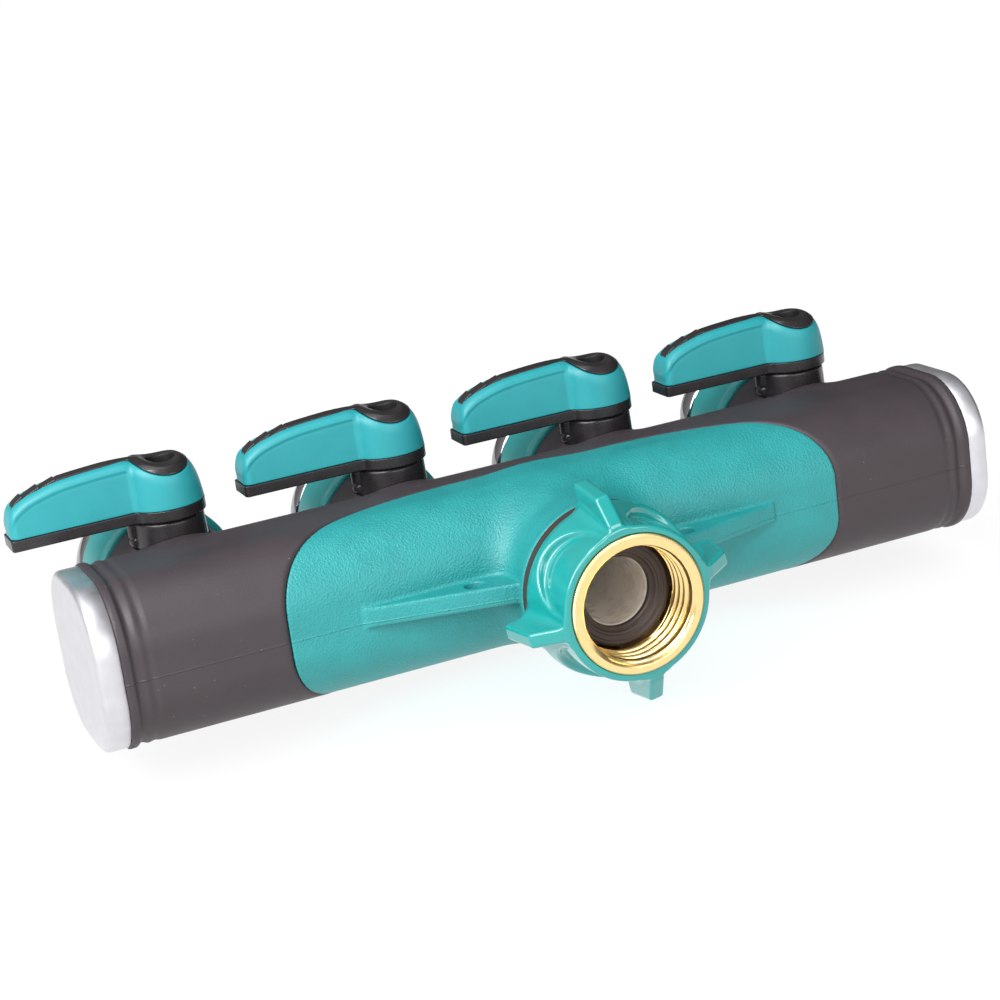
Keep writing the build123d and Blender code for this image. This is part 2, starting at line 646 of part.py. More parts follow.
with BuildPart() as ball_shape:
    with Locations((0, 0, OUTLET_Z)):
        Sphere(BALL_R)
        Cylinder(BALL_PORT_R, 2 * BALL_R, rotation=(0, 90, 0), mode=Mode.SUBTRACT)
    with BuildSketch(Plane.XY.offset(TANG_BOTTOM)) as slot:
        Rectangle(2 * BALL_R, 2 * TANG_HALF)
    extrude(slot.sketch, amount=BALL_R, mode=Mode.SUBTRACT)

LEVER_PIECES = {
    "lever_grip": grip_shape,
    "lever_core": core_shape,
    "lever_screw": screw_shape,
    "valve_stem": stem_shape,
    "stem_ring": ring_shape,
    "valve_ball": ball_shape,
}
for number, x in enumerate(VALVE_XS, start=1):
    for name, shape in LEVER_PIECES.items():
        with BuildPart() as placed:
            with Locations((x, VALVE_Y, 0)):
                add(shape.part)
        save(placed.part, f"{name}_{number}")
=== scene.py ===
import json
from math import cos, pi, radians, sin

import bmesh
import bpy
import numpy as np
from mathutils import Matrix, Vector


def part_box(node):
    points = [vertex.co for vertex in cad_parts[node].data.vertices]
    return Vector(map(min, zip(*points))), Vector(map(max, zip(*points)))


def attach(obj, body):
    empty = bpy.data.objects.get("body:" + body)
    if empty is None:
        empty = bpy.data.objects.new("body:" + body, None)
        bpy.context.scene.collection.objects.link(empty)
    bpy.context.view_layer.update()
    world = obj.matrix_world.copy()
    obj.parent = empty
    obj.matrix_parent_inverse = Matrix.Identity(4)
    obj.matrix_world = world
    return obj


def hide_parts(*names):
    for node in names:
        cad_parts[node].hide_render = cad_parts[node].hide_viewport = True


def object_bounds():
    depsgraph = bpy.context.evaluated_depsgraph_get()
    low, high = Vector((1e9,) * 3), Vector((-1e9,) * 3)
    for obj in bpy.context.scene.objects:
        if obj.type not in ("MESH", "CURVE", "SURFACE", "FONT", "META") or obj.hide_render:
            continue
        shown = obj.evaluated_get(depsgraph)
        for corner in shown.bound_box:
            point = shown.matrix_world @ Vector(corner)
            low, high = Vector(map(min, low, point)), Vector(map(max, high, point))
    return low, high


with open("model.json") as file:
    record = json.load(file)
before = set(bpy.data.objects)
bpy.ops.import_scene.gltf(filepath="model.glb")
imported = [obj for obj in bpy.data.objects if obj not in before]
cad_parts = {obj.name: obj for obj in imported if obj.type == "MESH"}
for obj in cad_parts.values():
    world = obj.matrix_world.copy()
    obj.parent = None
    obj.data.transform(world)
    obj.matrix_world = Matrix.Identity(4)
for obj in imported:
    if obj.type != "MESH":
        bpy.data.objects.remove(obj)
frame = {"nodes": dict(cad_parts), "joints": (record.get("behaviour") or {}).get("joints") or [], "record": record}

import openvdb
from mathutils import Matrix, Vector

cad_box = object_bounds()

# Geometry is worked out in millimetres and stored in metres.
MM = 0.001


def box_mm(node):
    """Lowest and highest corner of a CAD node, in millimetres."""
    low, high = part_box(node)
    return np.array(low) / MM, np.array(high) / MM


# ---------------------------------------------------------------- sizes read from the frame
SHELL_END = box_mm("body_skin")[1][0]
cap_low, cap_high = box_mm("end_cap_left")
cover_low, cover_high = box_mm("front_cover")
GRIP_BOTTOM = box_mm("lever_grip_1")[0][2]
lever_core_low, lever_core_high = box_mm("lever_core_1")
housing_low, housing_high = box_mm("stem_housing_1")
collar_low, collar_high = box_mm("outlet_collar_1")
fitting_low, fitting_high = box_mm("outlet_fitting_1")
nut_low, nut_high = box_mm("nut_grip")
insert_high = box_mm("nut_insert")[1]
washer_low, washer_high = box_mm("inlet_washer")

mounts = {m["name"]: m for m in frame["record"]["mounts"]}
VALVES = {j["child"]: np.array(j["pos_m"]) / MM for j in frame["joints"] if j["name"].startswith("valve")}
VALVE_XS = [VALVES[body][0] for body in sorted(VALVES)]
VALVE_Y = VALVES["lever_1"][1]
OUTLET_Z = mounts["outlet_thread_1"]["pos_m"][2] / MM

CAP_INSET = 0.1
BODY_DEPTH = cap_high[1] - cap_low[1] + 2 * CAP_INSET
BODY_HEIGHT = cap_high[2] - cap_low[2] + 2 * CAP_INSET
BODY_Y = (cap_high[1] + cap_low[1]) / 2
BODY_Z = (cap_high[2] + cap_low[2]) / 2
BODY_CORNER = 14.5
BODY_FRONT = BODY_Y - BODY_DEPTH / 2
COVER_HALF = cover_high[0]
SKIN = 2.4               # thickness of the skin and the cover over the core


# ---------------------------------------------------------------- solid modelling with distance fields
def smooth_min(a, b, blend):
    """Union of two fields, filleted over about the blend width."""
    share = np.clip(0.5 + 0.5 * (b - a) / blend, 0, 1)
    return b + (a - b) * share - blend * share * (1 - share)


def smooth_max(a, b, blend):
    """Overlap of two fields, with the edge rounded over about the blend width."""
    return -smooth_min(-a, -b, blend)


def step_up(value, start, end):
    """0 before start, 1 after end, smooth between."""
    t = np.clip((value - start) / (end - start), 0, 1)
    return t * t * (3 - 2 * t)


def bump_at(value, centre, half):
    """Smooth hump of height 1 at centre that ends half away on both sides."""
    return 1 - step_up(np.abs(value - centre), 0, half)


def slab(value, low, high):
    """Distance field of the space between two parallel planes."""
    return np.abs(value - (low + high) / 2) - (high - low) / 2


def outline_field(points, u, v):
    """Signed distance to a closed polygon in the plane, negative inside."""
    ends = np.roll(points, -1, axis=0)
    nearest = None
    inside = np.zeros(np.broadcast(u, v).shape, bool)
    for (au, av), (bu, bv) in zip(points, ends):
        du, dv = bu - au, bv - av
        share = np.clip(((u - au) * du + (v - av) * dv) / (du * du + dv * dv), 0, 1)
        gap = np.hypot(u - au - share * du, v - av - share * dv)
        nearest = gap if nearest is None else np.minimum(nearest, gap)
        if dv != 0:
            crosses = ((av > v) != (bv > v)) & (u < du * (v - av) / dv + au)
            inside ^= crosses
    return np.where(inside, -nearest, nearest)


def spline_points(knots, per_span=8):
    """Points along a smooth curve through the knots."""
    padded = np.vstack([2 * knots[0] - knots[1], knots, 2 * knots[-1] - knots[-2]])
    out = []
    for i in range(1, len(padded) - 2):
        p0, p1, p2, p3 = padded[i - 1:i + 3]
        for t in np.arange(per_span) / per_span:
            out.append(0.5 * (2 * p1 + (p2 - p0) * t + (2 * p0 - 5 * p1 + 4 * p2 - p3) * t ** 2
                              + (3 * p1 - p0 - 3 * p2 + p3) * t ** 3))
    out.append(knots[-1])
    return np.array(out)


def gradient_at(field, p, width=0.02):
    """Direction in which the field grows at each point, from central differences."""
    grad = np.empty_like(p)
    for axis in range(3):
        ahead = p.copy()
        behind = p.copy()
        ahead[:, axis] += width
        behind[:, axis] -= width
        grad[:, axis] = (field(*ahead.T) - field(*behind.T)) / (2 * width)
    return grad


def mesh_object(name, points_mm, faces, normals=None):
    """Blender object from points in millimetres."""
    mesh = bpy.data.meshes.new(name)
    mesh.from_pydata((points_mm * MM).tolist(), [], faces)
    mesh.polygons.foreach_set("use_smooth", np.ones(len(mesh.polygons), bool))
    if normals is not None:
        mesh.normals_split_custom_set_from_vertices(normals.tolist())
    mesh.update()
    piece = bpy.data.objects.new(name, mesh)
    bpy.context.scene.collection.objects.link(piece)
    return piece


def field_mesh(field, low, high, step):
    """Points, faces and normals of the surface where the field is zero, inside the box low to high."""
    margin = 3 * step
    axes = [np.arange(a - margin, b + margin, step) for a, b in zip(low, high)]
    values = field(axes[0][:, None, None], axes[1][None, :, None], axes[2][None, None, :])
    shape = tuple(len(a) for a in axes)
    grid = openvdb.FloatGrid(margin)
    grid.copyFromArray(np.ascontiguousarray(np.broadcast_to(values, shape), np.float32))
    points, quads = grid.convertToQuads(isovalue=0.0)
    p = points.astype(float) * step + np.array([a[0] for a in axes])
    for _ in range(3):
        grad = gradient_at(field, p)
        length = np.maximum((grad ** 2).sum(axis=1), 0.05)
        move = field(*p.T)[:, None] * grad / length[:, None]
        p -= np.clip(move, -0.5 * step, 0.5 * step)
    grad = gradient_at(field, p, 0.25 * step)
    normals = grad / np.maximum(np.linalg.norm(grad, axis=1), 1e-9)[:, None]
    return p, quads.tolist(), normals


def lathe(name, radii, ys, centre=(0.0, 0.0)):
    """Closed turned piece about an axis along Y. radii and ys hold one row per profile point and one
    column per angle, and the profile runs round the section once."""
    rows, cols = radii.shape
    angle = np.arange(cols) * 2 * pi / cols
    x = centre[0] + radii * np.cos(angle)
    z = centre[1] + radii * np.sin(angle)
    p = np.stack([x, ys, z], axis=2).reshape(-1, 3)
    faces = []
    for i in range(rows):
        k = (i + 1) % rows
        for j in range(cols):
            m = (j + 1) % cols
            faces.append((i * cols + j, k * cols + j, k * cols + m, i * cols + m))
    return mesh_object(name, p, faces)


def profile_rows(points, cols):
    """Profile points (radius, y) repeated round every angle."""
    profile = np.array(points, float)
    return np.repeat(profile[:, :1], cols, axis=1), np.repeat(profile[:, 1:], cols, axis=1)


def rounded(points, size, steps=4):
    """Closed profile with its corners rounded. size is one radius-like length, cut to fit each side."""
    pts = np.array(points, float)
    out = []
    for i in range(len(pts)):
        before, here, after = pts[i - 1], pts[i], pts[(i + 1) % len(pts)]
        to_before = before - here
        to_after = after - here
        cut = min(size, 0.45 * np.linalg.norm(to_before), 0.45 * np.linalg.norm(to_after))
        a = here + to_before / np.linalg.norm(to_before) * cut
        b = here + to_after / np.linalg.norm(to_after) * cut
        for t in np.linspace(0, 1, steps + 1):
            out.append((1 - t) ** 2 * a + 2 * t * (1 - t) * here + t * t * b)
    return out


# ---------------------------------------------------------------- body: section, core, skin and cover
def body_section(y, z):
    """Rounded section across the body."""
    qy = np.abs(y - BODY_Y) - (BODY_DEPTH / 2 - BODY_CORNER)
    qz = np.abs(z - BODY_Z) - (BODY_HEIGHT / 2 - BODY_CORNER)
    return np.hypot(np.maximum(qy, 0), np.maximum(qz, 0)) + np.minimum(np.maximum(qy, qz), 0) - BODY_CORNER


NECK_FRONT = cover_low[1]
NECK_R = 17.7
NECK_ROUND = 1.2
NECK_FILLET = 6.5
NECK_LIP = 1.3           # how far the lip round the neck's mouth stands out
LIP_FLAT = 1.7
LIP_END = 2.9
INLET_BOSS_R = 15.2
BRANCH_R = 12.9
BOSS_R = 15.3
BOSS_END = collar_low[1]
HOUSING_R = 8.4
EDGE_BACK = 1.3          # how far behind the middle the cover's rear edge lies
EDGE_SWEEP = 22.2        # how far it curves forward at the ends
EDGE_POWER = 3.68
EDGE_ROUND = 0.7
COVER_FOOT_ROUND = 2.0


def behind_cover_edge(x, y):
    """Distance behind the cover's curved rear edge, seen from above."""
    share = np.abs(x) / COVER_HALF
    edge = BODY_Y + EDGE_BACK - EDGE_SWEEP * share ** EDGE_POWER
    slope = EDGE_SWEEP * EDGE_POWER / COVER_HALF * share ** (EDGE_POWER - 1)
    return (y - edge) / np.sqrt(1 + slope ** 2)


def core_field(x, y, z):
    """Outside of the moulded core, which the skin and the cover wrap."""
    field = body_section(y, z) + SKIN
    boss = np.maximum(np.hypot(x, z) - INLET_BOSS_R, y - BODY_Y)
    field = np.minimum(field, boss)
    for valve_x in VALVE_XS:
        branch = np.maximum(np.hypot(x - valve_x, z - OUTLET_Z) - BRANCH_R, BODY_Y - y)
        field = np.minimum(field, branch)
    return field


RIB_TIP = 50.5
RIB_TIP_Y = BODY_FRONT - 0.5
RIB_ROOT = 17.0
RIB_ROOT_Y = BODY_Y - 29.6
RIB_BOTTOM = -1.0
RIB_TOP = 3.6
RIB_ROUND = 0.7
RIB_FILLET = 0.9
RIB_HOLE_ROUND = 0.5
RIB_HOLE_X = mounts["fixing_holes"]["dims"]["spacing_x_mm"] / 2
RIB_HOLE_Y = mounts["fixing_holes"]["pos_m"][1] / MM
RIB_HOLE_R = mounts["fixing_holes"]["dims"]["hole_r_mm"]
SEAM = 0.06              # gap between the cover's edge and the skin


def cover_field(x, y, z):
    """Front cover: body front, inlet neck and the two drilled ribs."""
    lip = NECK_LIP * (1 - step_up(y, NECK_FRONT + LIP_FLAT, NECK_FRONT + LIP_END))
    neck = smooth_max(np.hypot(x, z) - NECK_R - lip, NECK_FRONT - y, NECK_ROUND)
    neck = np.maximum(neck, y - BODY_Y)
    shell = smooth_min(body_section(y, z), neck, NECK_FILLET)
    shell = smooth_max(shell, BODY_Z - BODY_HEIGHT / 2 - z, COVER_FOOT_ROUND)
    rib_length = np.hypot(RIB_TIP - RIB_ROOT, RIB_TIP_Y - RIB_ROOT_Y)
    across = np.abs(x) - RIB_ROOT
    front = (across * (RIB_TIP_Y - RIB_ROOT_Y) - (y - RIB_ROOT_Y) * (RIB_TIP - RIB_ROOT)) / rib_length
    rib = smooth_max(front, slab(z, RIB_BOTTOM, RIB_TOP), RIB_ROUND)
    rib = smooth_max(rib, np.abs(x) - RIB_TIP, RIB_ROUND)
    rib = np.maximum(rib, y - BODY_Y)
    shell = smooth_min(shell, rib, RIB_FILLET)
    hole = np.hypot(np.abs(x) - RIB_HOLE_X, y - RIB_HOLE_Y) - RIB_HOLE_R
    hole = np.maximum(hole, slab(z, RIB_BOTTOM - 1, RIB_TOP + 1))
    shell = smooth_max(shell, -hole, RIB_HOLE_ROUND)
    shell = smooth_max(shell, behind_cover_edge(x, y) + SEAM, EDGE_ROUND)
    return np.maximum(shell, -core_field(x, y, z))


BEAD_PROUD = 0.35
BEAD_FLAT = 1.6
BEAD_END = 2.6
GROOVE = 0.5
GROOVE_AT = 3.0          # places of the two grooves, measured from the end of the skin
GROOVE_HALF = 1.5
FAR_GROOVE_AT = 5.9
FAR_GROOVE_HALF = 1.4
SKIN_END_ROUND = 0.5
BOSS_ROUND = 0.6
BOSS_FILLET = 1.5
FILLET_START = BODY_Y + 2
FILLET_FULL = BODY_Y + 9
SOCKET_GAP = 0.1
SOCKET_ROUND = 0.4


def skin_field(x, y, z):
    """Soft skin of the body with its end beads, outlet bosses and the sockets for the towers."""
    along = SHELL_END - np.abs(x)
    relief = BEAD_PROUD * (1 - step_up(along, BEAD_FLAT, BEAD_END))
    relief = relief - GROOVE * bump_at(along, GROOVE_AT, GROOVE_HALF)
    relief = relief - 0.5 * GROOVE * bump_at(along, FAR_GROOVE_AT, FAR_GROOVE_HALF)
    shell = smooth_max(body_section(y, z) - relief, np.abs(x) - SHELL_END, SKIN_END_ROUND)
    for valve_x in VALVE_XS:
        boss = smooth_max(np.hypot(x - valve_x, z - OUTLET_Z) - BOSS_R, y - BOSS_END, BOSS_ROUND)
        boss = np.maximum(boss, BODY_Y - y)
        shell = smooth_min(shell, boss, 0.1 + BOSS_FILLET * step_up(y, FILLET_START, FILLET_FULL))
    for valve_x in VALVE_XS:
        socket = np.hypot(x - valve_x, y - VALVE_Y) - HOUSING_R - SOCKET_GAP
        socket = np.maximum(socket, OUTLET_Z - z)
        shell = smooth_max(shell, -socket, SOCKET_ROUND)
    shell = smooth_max(shell, SEAM - behind_cover_edge(x, y), EDGE_ROUND)
    return np.maximum(shell, -core_field(x, y, z))


# Columns round a turned piece, and round the plainer collars.
TURNED_COLS = 240
COLLAR_COLS = 160


# ---------------------------------------------------------------- inlet nut
NUT_FRONT = nut_low[1]
NUT_REAR = nut_high[1]
LIP_R = insert_high[0]
LIP_THICK = 1.1
INSERT_R = 14.7
RIM_R = 17.4
RIM_LENGTH = 1.2
RIM_ROUND = 0.9
SKIRT_R = 19.6
SKIRT_START = NUT_REAR - 2.4
SKIRT_TUCK = 0.5
SKIRT_ROUND = 0.8
FLARE_SCALE = 0.97       # keeps the field a true distance on the sloping side
SCOOP_R = 17.35
SCOOP_HALF = 9.2
SCOOP_STRAIGHT = 3.2
SCOOP_ROUND = 1.0
LUG_COUNT = 4
LUG_ANGLE = radians(8.6)
LUG_HALF = 1.75
LUG_SECTION = np.array([(15.0, 14.2), (24.3, 14.2), (23.0, 5.4), (18.0, 2.3), (15.0, 2.3)])
LUG_CORNER = 1.15
LUG_ROUND = 0.9
LUG_FILLET = 1.0         # at the front, growing by the next value towards the rear
LUG_FILLET_GROWTH = 1.7
FILLET_GROWS = (1.5, 8.0)
INSERT_GAP = 0.03
BORE_ROUND = 0.25


def nut_field(x, y, z):
    """Grip of the inlet nut: a flared ring with four scooped panels and four lugs."""
    radius = np.hypot(x, z)
    flare = np.clip((y - NUT_FRONT - RIM_LENGTH) / (SKIRT_START - NUT_FRONT - RIM_LENGTH), 0, 1)
    tuck = np.clip((y - SKIRT_START) / (NUT_REAR - SKIRT_START), 0, 1)
    body = (radius - RIM_R - (SKIRT_R - RIM_R) * flare + SKIRT_TUCK * tuck ** 2) * FLARE_SCALE
    quarter = 2 * pi / LUG_COUNT
    angle = np.arctan2(z, x) - LUG_ANGLE
    lug_turn = angle - quarter * np.round(angle / quarter)
    panel = angle - quarter / 2
    panel_turn = panel - quarter * np.round(panel / quarter)
    across = radius * np.sin(panel_turn)
    straight = np.abs(across) - SCOOP_HALF
    round_end = np.hypot(across, y - SCOOP_STRAIGHT) - SCOOP_HALF
    scoop = np.where(y < SCOOP_STRAIGHT, straight, round_end)
    scoop = smooth_max(scoop, SCOOP_R - radius, SCOOP_ROUND)
    body = smooth_max(body, -scoop, SCOOP_ROUND)
    body = smooth_max(body, NUT_FRONT - y, RIM_ROUND)
    out = radius * np.cos(lug_turn)
    side = np.abs(radius * np.sin(lug_turn)) - LUG_HALF
    lug = smooth_max(outline_field(LUG_SECTION, out, y) - LUG_CORNER, side, LUG_ROUND)
    body = smooth_min(body, lug, LUG_FILLET + LUG_FILLET_GROWTH * step_up(y, *FILLET_GROWS))
    body = smooth_max(body, y - NUT_REAR, SKIRT_ROUND)
    body = smooth_max(body, NUT_FRONT - y, RIM_ROUND)
    bore = np.where(y < LIP_THICK + 0.05, radius - LIP_R - INSERT_GAP, radius - INSERT_R)
    return smooth_max(body, -bore, BORE_ROUND)


THREAD_PITCH = 25.4 / 11.5
THREAD_MINOR_R = mounts["inlet_thread"]["dims"]["r_mm"]
THREAD_MAJOR_R = mounts["outlet_thread_1"]["dims"]["r_mm"]
THREAD_DEPTH = 1.25
INSIDE_ROWS = 20         # rows per pitch in the nut and on the outlets
OUTSIDE_ROWS = 18
CREST_END = 0.16         # shares of half a pitch where the crest ends and the root begins
ROOT_START = 0.86
MOUTH_R = THREAD_MINOR_R + 1.35
MOUTH_CHAMFER = 0.8
MOUTH_DEPTH = 2.4
RELIEF_R = THREAD_MINOR_R + 1.5
TAIL_BORE_R = 10.05
TAIL_THICK = 1.6
INSERT_COLS = 720        # columns round the insert, fine enough for the serrations
TOOTH_COLS = 4
SERRATION = 0.24
SHARP = 0.05             # length over which the bore steps from one radius to the next


def thread_shape(phase):
    """0 on a crest, 1 in a root, with short flats on both."""
    saw = np.abs(2 * (phase % 1.0) - 1)
    return step_up(saw, CREST_END, ROOT_START)


def brass_insert():
    """Brass nut insert with a serrated lip and its right-hand inside thread."""
    cols = INSERT_COLS
    angle = np.arange(cols) * 2 * pi / cols
    thread_y = np.arange(0.2, washer_low[1], THREAD_PITCH / INSIDE_ROWS)
    rows_r = []
    rows_y = []

    def ring(radius, y):
        rows_r.append(np.full(cols, radius, float) if np.isscalar(radius) else radius)
        rows_y.append(np.full(cols, y, float))

    ring(MOUTH_R, 0.16)
    for y in thread_y:
        cut = THREAD_DEPTH * thread_shape(y / THREAD_PITCH + angle / (2 * pi))
        crest = THREAD_MINOR_R + MOUTH_CHAMFER * max(0.0, 1 - y / MOUTH_DEPTH)
        ring(np.maximum(THREAD_MINOR_R + cut, crest), y)
    ring(THREAD_MINOR_R + 0.3, washer_low[1])
    ring(RELIEF_R, washer_low[1] + SHARP)
    ring(RELIEF_R, washer_high[1])
    ring(THREAD_MINOR_R, washer_high[1] + SHARP)
    ring(THREAD_MINOR_R, insert_high[1] - TAIL_THICK)
    ring(TAIL_BORE_R, insert_high[1] - TAIL_THICK + SHARP)
    ring(TAIL_BORE_R, insert_high[1])
    ring(INSERT_R, insert_high[1])
    ring(INSERT_R, LIP_THICK + 0.02)
    serration = SERRATION * (np.arange(cols) % TOOTH_COLS < TOOTH_COLS / 2)
    ring(LIP_R - serration, LIP_THICK)
    ring(LIP_R - serration, 0.42)
    ring(LIP_R - 0.12 - serration, 0.2)
    ring(LIP_R - 0.34 - serration, 0.06)
    ring(LIP_R - 0.66, 0.0)
    ring(MOUTH_R + 0.3, 0.0)
    ring(MOUTH_R + 0.1, 0.07)
    return lathe("brass_insert", np.array(rows_r)[::-1], np.array(rows_y)[::-1])


WASHER_BORE_R = 7.75
WASHER_R = THREAD_MINOR_R - 0.45
WASHER_ROUND = 0.15
FACE_ROUND = 0.12
TAB_REACH = 1.4
TAB_TURN = radians(20)
TAB_HALF = radians(25)
TAB_EDGE = radians(1.5)


def hose_washer():
    """Hose washer with stepped face and four locking tabs."""
    cols = TURNED_COLS
    angle = np.arange(cols) * 2 * pi / cols
    quarter = pi / 2
    turn = angle - TAB_TURN
    turn = turn - quarter * np.round(turn / quarter)
    tab = 1 - step_up(np.abs(turn), TAB_HALF, TAB_HALF + TAB_EDGE)
    outer = WASHER_R + TAB_REACH * tab
    front, rear = washer_low[1], washer_high[1]
    section = [
        (WASHER_BORE_R, rear), (WASHER_BORE_R, front + 1.7), (8.2, front + 1.3), (8.7, front + 1.4),
        (9.0, front + 0.85), (9.4, front + 0.8), (9.6, front + 0.45), (10.5, front + 0.42),
        (10.7, front + 0.02), (11.4, front),
    ]
    rows_r, rows_y = profile_rows(rounded(section, FACE_ROUND, 3), cols)
    edge_r = np.stack([outer - WASHER_ROUND, outer, outer, outer - WASHER_ROUND])
    edge_y = np.array([[front], [front + WASHER_ROUND], [rear - WASHER_ROUND], [rear]])
    edge_y = np.repeat(edge_y, cols, axis=1)
    return lathe("hose_washer", np.vstack([rows_r, edge_r])[::-1], np.vstack([rows_y, edge_y])[::-1])


# ---------------------------------------------------------------- outlets
FLANGE_R = fitting_high[0] - VALVE_XS[0]
FLANGE_FRONT = collar_high[1]
FLANGE_REAR = FLANGE_FRONT + 5.8
COLLAR_GAP = 0.03
COLLAR_R = collar_high[0] - VALVE_XS[0]
COLLAR_ROUND = 0.45
OUTLET_BORE_R = 8.0
TAIL_R = 10.0


def outlet_fitting(number, valve_x):
    """Plated outlet: bevelled flange and a right-hand outside thread."""
    cols = TURNED_COLS
    angle = np.arange(cols) * 2 * pi / cols
    y0, y1 = FLANGE_FRONT, FLANGE_REAR
    flange = [
        (BRANCH_R, y0 - 0.5), (BRANCH_R, y0 + 0.02), (FLANGE_R - 1.5, y0 + 0.02), (FLANGE_R - 1.1, y0 + 0.12),
        (FLANGE_R - 0.2, y0 + 1.1), (FLANGE_R, y0 + 1.5), (FLANGE_R, y1 - 0.9), (FLANGE_R - 0.25, y1 - 0.3),
        (FLANGE_R - 0.9, y1), (THREAD_MAJOR_R + 0.4, y1), (THREAD_MAJOR_R - 0.9, y1 + 0.1),
    ]
    end = fitting_high[1]
    rows_r, rows_y = profile_rows(flange, cols)
    thread_y = np.arange(y1 + 0.3, end - 0.2, THREAD_PITCH / OUTSIDE_ROWS)
    cut = thread_shape(thread_y[:, None] / THREAD_PITCH + angle[None, :] / (2 * pi))
    run_in = step_up(thread_y, y1 + 0.2, y1 + 1.4)
    run_out = 1 - step_up(thread_y, end - 1.7, end - 0.1)
    lead = np.minimum(run_in, run_out)
    thread_r = THREAD_MAJOR_R - THREAD_DEPTH + (THREAD_DEPTH * (1 - cut)) * lead[:, None]
    thread_rows_y = np.repeat(thread_y[:, None], cols, axis=1)
    inside = [
        (THREAD_MAJOR_R - 1.6, end), (OUTLET_BORE_R + 1.0, end), (OUTLET_BORE_R + 0.25, end - 0.25),
        (OUTLET_BORE_R, end - 1.0), (OUTLET_BORE_R, fitting_low[1]), (TAIL_R, fitting_low[1]),
        (TAIL_R, y0 - 0.55),
    ]
    in_r, in_y = profile_rows(inside, cols)
    radii = np.vstack([rows_r, thread_r, in_r])
    ys = np.vstack([rows_y, thread_rows_y, in_y])
    return lathe(f"outlet_{number}", radii[::-1], ys[::-1], (valve_x, OUTLET_Z))


def outlet_collar(number, valve_x):
    """Collar on the outlet boss, bevelled towards the front."""
    front, rear = collar_low[1] + COLLAR_GAP, collar_high[1] - COLLAR_GAP
    section = [
        (BRANCH_R + 0.02, rear), (BRANCH_R + 0.02, front), (COLLAR_R - 1.1, front), (COLLAR_R, front + 1.3),
        (COLLAR_R, rear),
    ]
    rows_r, rows_y = profile_rows(rounded(section, COLLAR_ROUND), COLLAR_COLS)
    return lathe(f"collar_{number}", rows_r, rows_y, (valve_x, OUTLET_Z))


# ---------------------------------------------------------------- stem housing
HOUSING_TOP = housing_high[2]
HOUSING_BOTTOM = housing_low[2]
STEM_R = 4.05
TOWER_R = 8.1
TOWER_DRAFT = 0.035
TOWER_ROUND = 0.9
TOWER_REACH = 9          # half width of the box that the tower is drawn in
TOWER_FOOT = HOUSING_BOTTOM + 2
STOP_OUT = 9.6
STOP_HALF = 2.0
STOP_BOTTOM = 16.9
STOP_ROUND = 2.4
STOP_FOOT_ROUND = 1.4
STOP_DROP = 0.15         # how far the tab's top lies under the tower's
NOTCH_Z = 19.5
NOTCH_HALF = 0.45
NOTCH_DEPTH = 0.3
NOTCH_SLOPE = 0.18


def housing_field(x, y, z):
    """Round tower with a stop tab towards -X, drawn about the valve's own axis."""
    radius = np.hypot(x, y)
    tower = radius - TOWER_R - TOWER_DRAFT * (HOUSING_TOP - z)
    tower = smooth_max(tower, z - HOUSING_TOP, TOWER_ROUND)
    notch = bump_at(z + NOTCH_SLOPE * (y + STOP_HALF), NOTCH_Z, NOTCH_HALF) * NOTCH_DEPTH
    tab = smooth_max(np.abs(y) - STOP_HALF, -x - STOP_OUT + notch, STOP_ROUND)
    tab = smooth_max(tab, STOP_BOTTOM - z, STOP_FOOT_ROUND)
    tab = np.maximum(tab, x)
    tab = smooth_max(tab, z - HOUSING_TOP + STOP_DROP, 0.7)
    field = smooth_min(tower, tab, 0.5)
    field = smooth_max(field, TOWER_FOOT - z, 0.4)
    return np.maximum(field, STEM_R - radius)


# ---------------------------------------------------------------- lever, drawn about its own axis
LEVER_BOTTOM = lever_core_low[2]
ARM_HALF = 4.6
LEVER_REACH = VALVE_XS[0] - lever_core_low[0]
HUB_R = lever_core_high[0] - VALVE_XS[0]
SIDE_KNOTS = np.array([
    (-41.0, 18.0), (-38.6, 27.0), (-36.4, 31.4), (-34.0, 33.6), (-30.6, 35.3), (-24.5, 36.9), (-18.0, 37.6),
    (-9.5, 38.0), (-5.0, 37.7), (-1.0, 37.5), (3.4, 37.2), (7.4, 35.8), (10.4, 32.6), (13.2, 27.0),
    (17.0, 18.0),
])
SIDE_OUTLINE = spline_points(SIDE_KNOTS, 6)
LEVER_TOP = 39.0
LEVER_DRAFT = 0.035
ARM_TIP_ROUND = 2.2
BASE_TIP_ROUND = 1.0
HUB_FILLET = 0.7
TOP_ROUND = 3.0          # on the arm, growing by the next value on the hub
HUB_EXTRA_ROUND = 2.8
SHOULDER = (-9, -1)      # where the arm's rounding becomes the hub's
PANEL_DEPTH = 0.38
PANEL_INSET = (1.9, 3.0)
PANEL_END = (-8.6, -7.6)
GRIP_BELOW = 0.55        # how far the grip's top lies under the outline
SPINE_HALF = 1.75
SPINE_TIP_X = -35.6
SPINE_TIP_Z = 32.6
SPINE_TIP_ROUND = 2.2
SPINE_PROUD = 0.25
SPINE_NARROWING = 0.5
SPINE_NARROWS = (-13, -8)
SCALE_START = -35.2
SCALE_PITCH = 3.9
SCALES_END = (-23.6, -23.0)
SCALE_RISE = 0.6
SCALE_DROP = 0.4
CORE_R = 5.4
CORE_GAP = 0.1
MEETING_ROUND = 0.35     # where grip and core meet
GRIP_FOOT_ROUND = 0.3
BASE_ROUND = 0.2
DIP_ROUND = 0.5
HOLE_R = 3.3
HOLE_X = 0.5
DIP_X = 0.6
DIP_Z = 45.3
DIP_R = 9.5
SCREW_SEAT = 27.6
WELL_MARGIN = 0.2
SADDLE_X = 1.0
SADDLE_Z = 43.6
SADDLE_R = 10.0


